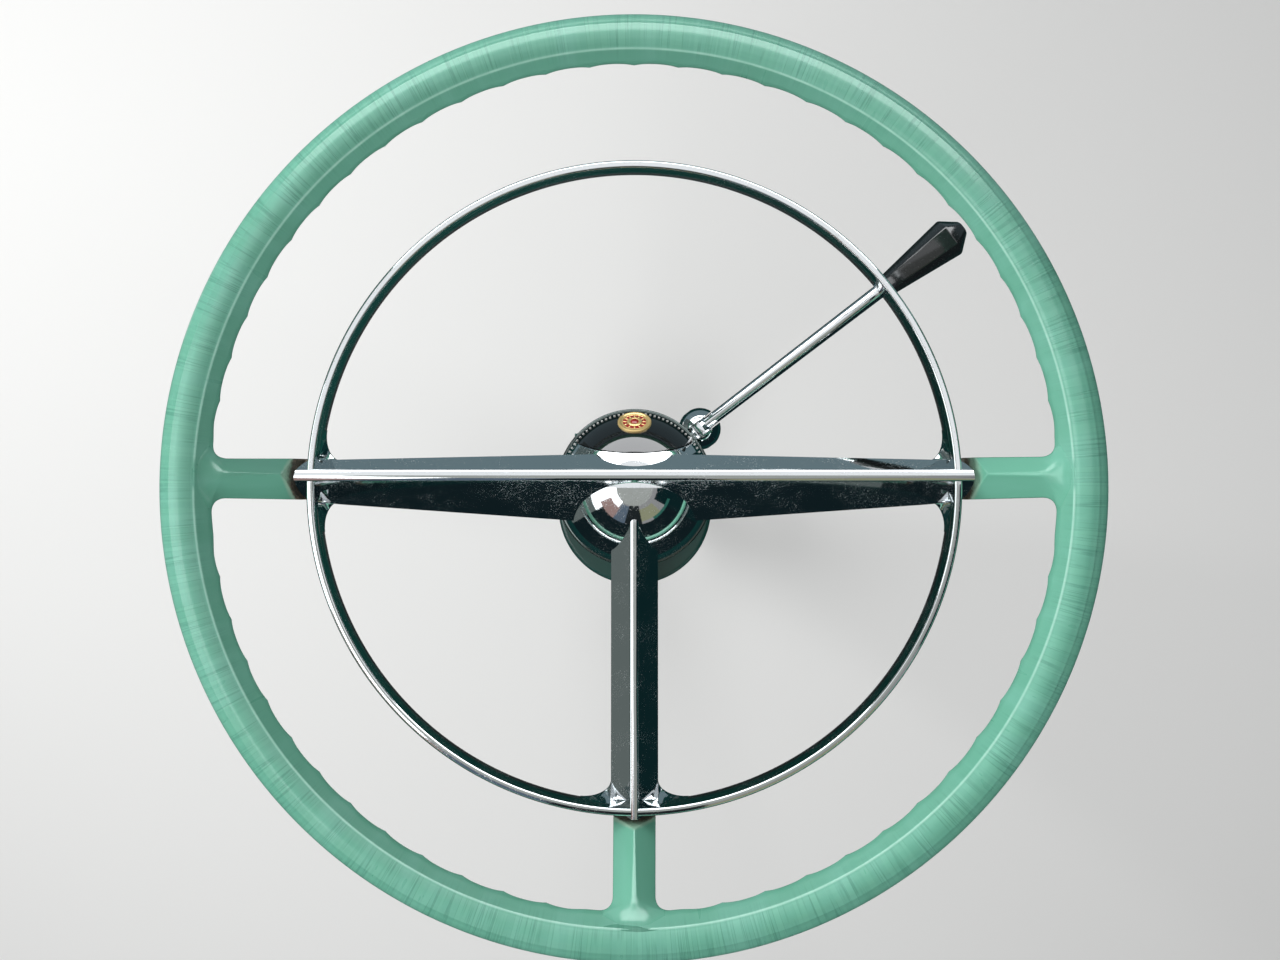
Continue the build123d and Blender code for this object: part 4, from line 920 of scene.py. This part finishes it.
# Bright teeth that hold the lens, along its outer edge
teeth = bmesh.new()
tooth_height = DOME_CENTRE + math.sqrt(DOME_SPHERE**2 - TOOTH_RADIUS**2)
tooth_tilt = Matrix.Rotation(math.asin(TOOTH_RADIUS / DOME_SPHERE), 3, "Y")
for number in range(TOOTH_COUNT):
    angle = math.radians(TOOTH_START + (180 - 2 * TOOTH_START) * number / (TOOTH_COUNT - 1))
    spot = Vector((TOOTH_RADIUS * math.cos(angle), TOOTH_RADIUS * math.sin(angle), tooth_height))
    made = bmesh.ops.create_cube(teeth, size=1.0)["verts"]
    bmesh.ops.scale(teeth, vec=Vector(TOOTH_SIZE) * MM, verts=made)
    bmesh.ops.rotate(teeth, cent=(0, 0, 0), matrix=Matrix.Rotation(angle, 3, "Z") @ tooth_tilt, verts=made)
    bmesh.ops.translate(teeth, verts=made, vec=spot * MM)
break_edges(teeth, 40, 0.12, 1)
place("lens_teeth", teeth, "wheel", TOOTH, "chrome")


# Ornament in the lens: a gilt rosette of rings and petals round red enamel
badge_turn = Matrix.Rotation(-math.radians(BADGE_TILT), 3, "X")
badge_seat = Vector((0, 0, DOME_CENTRE * MM)) + badge_turn @ Vector((0, 0, (DOME_SPHERE - BADGE_SINK) * MM))


def seat(mesh):
    """Moves a mesh made round +Z to the ornament's place on the lens."""
    for vertex in mesh.verts:
        vertex.co = badge_turn @ vertex.co + badge_seat


def turned(profile, finish, name, stands_for=()):
    """A ring or boss of the ornament, turned from its profile."""
    mesh = spun(profile, 96, closed=False)
    shade(mesh, 40)
    seat(mesh)
    place(name, mesh, "wheel", finish, "ornament_brass", stands_for)


turned([(0, 0), (9.0, 0), (9.0, 1.3), (8.6, 1.75), (8.0, 1.75), (7.6, 1.35), (7.0, 1.2), (6.4, 1.35),
        (6.1, 1.1), (0, 1.1)], GILT, "ornament_ring", ("hub_ornament",))
turned([(0, 0.9), (4.0, 0.9), (4.0, 1.5), (3.6, 1.8), (2.6, 1.8), (2.2, 1.5), (0, 1.5)], GILT, "ornament_boss")
turned([(0, 1.4), (2.3, 1.4), (1.9, 1.95), (1.1, 2.25), (0, 2.35)], ENAMEL, "ornament_enamel")
turned([(3.9, 1.0), (6.3, 1.0), (6.3, 1.22), (3.9, 1.22)], ENAMEL, "ornament_field")
petals = bmesh.new()
for number in range(PETAL_COUNT):
    made = bmesh.ops.create_uvsphere(petals, u_segments=10, v_segments=8, radius=1.0)["verts"]
    bmesh.ops.scale(petals, vec=(1.15 * MM, 0.42 * MM, 0.38 * MM), verts=made)
    bmesh.ops.translate(petals, verts=made, vec=(5.1 * MM, 0, 1.25 * MM))
    spin = Matrix.Rotation(2 * math.pi * number / PETAL_COUNT, 3, "Z")
    bmesh.ops.rotate(petals, cent=(0, 0, 0), matrix=spin, verts=made)
seat(petals)
shade(petals, 60)
place("ornament_petals", petals, "wheel", GILT, "ornament_brass")


# Smooth copies of the CAD nodes: node, body, finish, slot, edge width
SMOOTHED = (
    ("hub_bezel", "wheel", AGED_CHROME, "chrome", 0.0),
    ("wheel_core", "wheel", JADE, "jade_plastic", 0.9),
    ("steering_shaft", "wheel", STEEL, "plain_steel", 0.4),
    ("mast_jacket", "column", TEAL, "column_paint", 0.3),
    ("gear_flange", "column", IRON, "flange_iron", 0.6),
    ("toe_plate", "column", BLACK, "black_paint", 0.5),
    ("floor_seal", "column", RUBBER, "seal_rubber", 1.0),
    ("dash_bracket", "column", TEAL, "column_paint", 0.5),
    ("dash_strap", "column", TEAL, "column_paint", 0.5),
    ("clamp_bolts", "column", STEEL, "plain_steel", 0.5),
    ("lower_bearing", "column", BRASS, "bush_brass", 0.4),
    ("upper_bearing", "column", BRASS, "bush_brass", 0.4),
    ("signal_housing", "column", TEAL, "column_paint", 0.5),
    ("signal_pin", "column", STEEL, "plain_steel", 0.2),
    ("shift_bowl", "selector", TEAL, "column_paint", 0.5),
    ("lever_knuckle", "selector", CHROME, "chrome", 0.4),
    ("knuckle_pin", "selector", STEEL, "plain_steel", 0.2),
    ("lever_shaft", "selector", CHROME, "chrome", 0.3),
    ("lever_knob", "selector", KNOB, "black_plastic", 0.8),
    ("shift_tube", "selector", STEEL, "plain_steel", 0.3),
    ("lower_lever", "selector", STEEL, "plain_steel", 0.5),
    ("signal_lever", "signal", CHROME, "chrome", 0.2),
    ("signal_knob", "signal", KNOB, "black_plastic", 0.0),
)
for name, body, finish, slot_name, width in SMOOTHED:
    soften(name, body, finish, slot_name, width)


# Floor, light and the dark and grey surround that the plated parts reflect
def stage_material(name, color, strength=0.0):
    """Matt colour, or a colour that glows where it has a strength."""
    material = bpy.data.materials.new(name)
    material.use_nodes = True
    sockets = material.node_tree.nodes["Principled BSDF"].inputs
    sockets["Roughness"].default_value = 0.9
    sockets["Base Color"].default_value = (*color, 1.0)
    if strength:
        sockets["Base Color"].default_value = (0, 0, 0, 1)
        sockets["Specular IOR Level"].default_value = 0.0
        sockets["Emission Color"].default_value = (*color, 1.0)
        sockets["Emission Strength"].default_value = strength
    return material


def stage_piece(name, mesh, material):
    """Makes a piece of the studio, which isn't part of the object."""
    made = linked(name, mesh, material)
    return made


floor = bmesh.new()
bmesh.ops.create_grid(floor, x_segments=1, y_segments=1, size=FLOOR_HALF)
stage_piece("floor", floor, stage_material("floor_pale", (0.74, 0.74, 0.73)))

# Cards: name, middle direction and half width in degrees round the column, lowest and highest
# elevation, colour, strength
CARDS = (
    ("card_far", 90, 62, -33, 14, (0.150, 0.215, 0.240), 1.0),
    ("card_far_bright", 90, 48, 12, 50, (0.96, 0.98, 1.0), 5.0),
    ("card_far_left", 150, 12, -25, 58, (0.080, 0.110, 0.110), 1.0),
    ("card_far_right", 34, 7, 14, 58, (0.030, 0.070, 0.070), 1.0),
    ("card_left", 186, 24, -40, 24, (0.130, 0.155, 0.150), 1.0),
    ("card_left_bright", 188, 26, 24, 54, (0.92, 0.98, 1.0), 2.6),
    ("card_right", 0, 30, -40, 58, (0.004, 0.018, 0.020), 1.0),
    ("card_near", 270, 60, -40, 36, (0.006, 0.014, 0.017), 1.0),
    ("card_near_red", 218, 16, 36, 55, (0.360, 0.240, 0.220), 1.0),
    ("card_near_blue", 244, 10, 36, 62, (0.110, 0.150, 0.200), 1.0),
    ("card_near_dark", 268, 14, 36, 70, (0.015, 0.020, 0.022), 1.0),
    ("card_near_ochre", 300, 18, 40, 58, (0.300, 0.310, 0.200), 1.0),
    ("card_near_green", 322, 20, 36, 40, (0.030, 0.140, 0.110), 1.0),
    ("card_low", 90, 180, -40, -32, (0.006, 0.036, 0.034), 1.0),
    ("card_top_left", 180, 50, 54, 74, (0.96, 0.98, 1.0), 3.0),
    ("card_top_far", 90, 90, 50, 89, (0.94, 0.96, 0.98), 1.05),
    ("card_top_near", 270, 90, 64, 89, (0.40, 0.42, 0.40), 1.0),
)


def card(name, mesh, color, strength):
    """A card that only reflections show."""
    shown = stage_piece(name, mesh, stage_material(name, color, strength))
    shown.visible_camera = False
    shown.visible_diffuse = False
    shown.visible_shadow = False
    shown.visible_transmission = False


for number, (name, middle, half, low, high, color, strength) in enumerate(CARDS):
    radius = CARD_RADIUS - CARD_APART * number
    mesh = bmesh.new()
    bmesh.ops.create_grid(mesh, x_segments=72, y_segments=10, size=1.0)
    for vertex in mesh.verts:
        across = math.radians(middle + half * vertex.co.x)
        up = math.radians((low + high) / 2 + (high - low) / 2 * vertex.co.y)
        toward = Vector((math.cos(up) * math.cos(across), math.cos(up) * math.sin(across), math.sin(up)))
        vertex.co = CARD_CENTRE + radius * toward
    card(name, mesh, color, strength)

below = bmesh.new()
bmesh.ops.create_grid(below, x_segments=1, y_segments=1, size=CARD_BELOW_HALF)
bmesh.ops.translate(below, vec=(0, 0, CARD_BELOW_HEIGHT), verts=below.verts)
card("card_below", below, (0.006, 0.030, 0.030), 1.0)

world = bpy.data.worlds.new("studio")
world.use_nodes = True
background = world.node_tree.nodes["Background"].inputs
background["Color"].default_value = (0.80, 0.81, 0.82, 1.0)
background["Strength"].default_value = 0.38
bpy.context.scene.world = world

# Soft boxes: place, size, power
SOFTBOXES = (
    ("softbox_left", (-1.7, 0.7, 1.50), 1.0, 33.0),
    ("softbox_far", (-0.2, 1.9, 1.55), 1.0, 15.0),
    ("softbox_near", (-0.5, -1.0, 1.8), 1.0, 11.0),
    ("softbox_right", (1.7, -0.3, 1.6), 1.0, 7.0),
)
for name, spot, size, power in SOFTBOXES:
    lamp = bpy.data.lights.new(name, "AREA")
    lamp.size = size
    lamp.energy = power
    softbox = bpy.data.objects.new(name, lamp)
    softbox.location = spot
    softbox.rotation_euler = (CARD_CENTRE - Vector(spot)).to_track_quat("-Z", "Y").to_euler()
    softbox.visible_glossy = False
    bpy.context.scene.collection.objects.link(softbox)
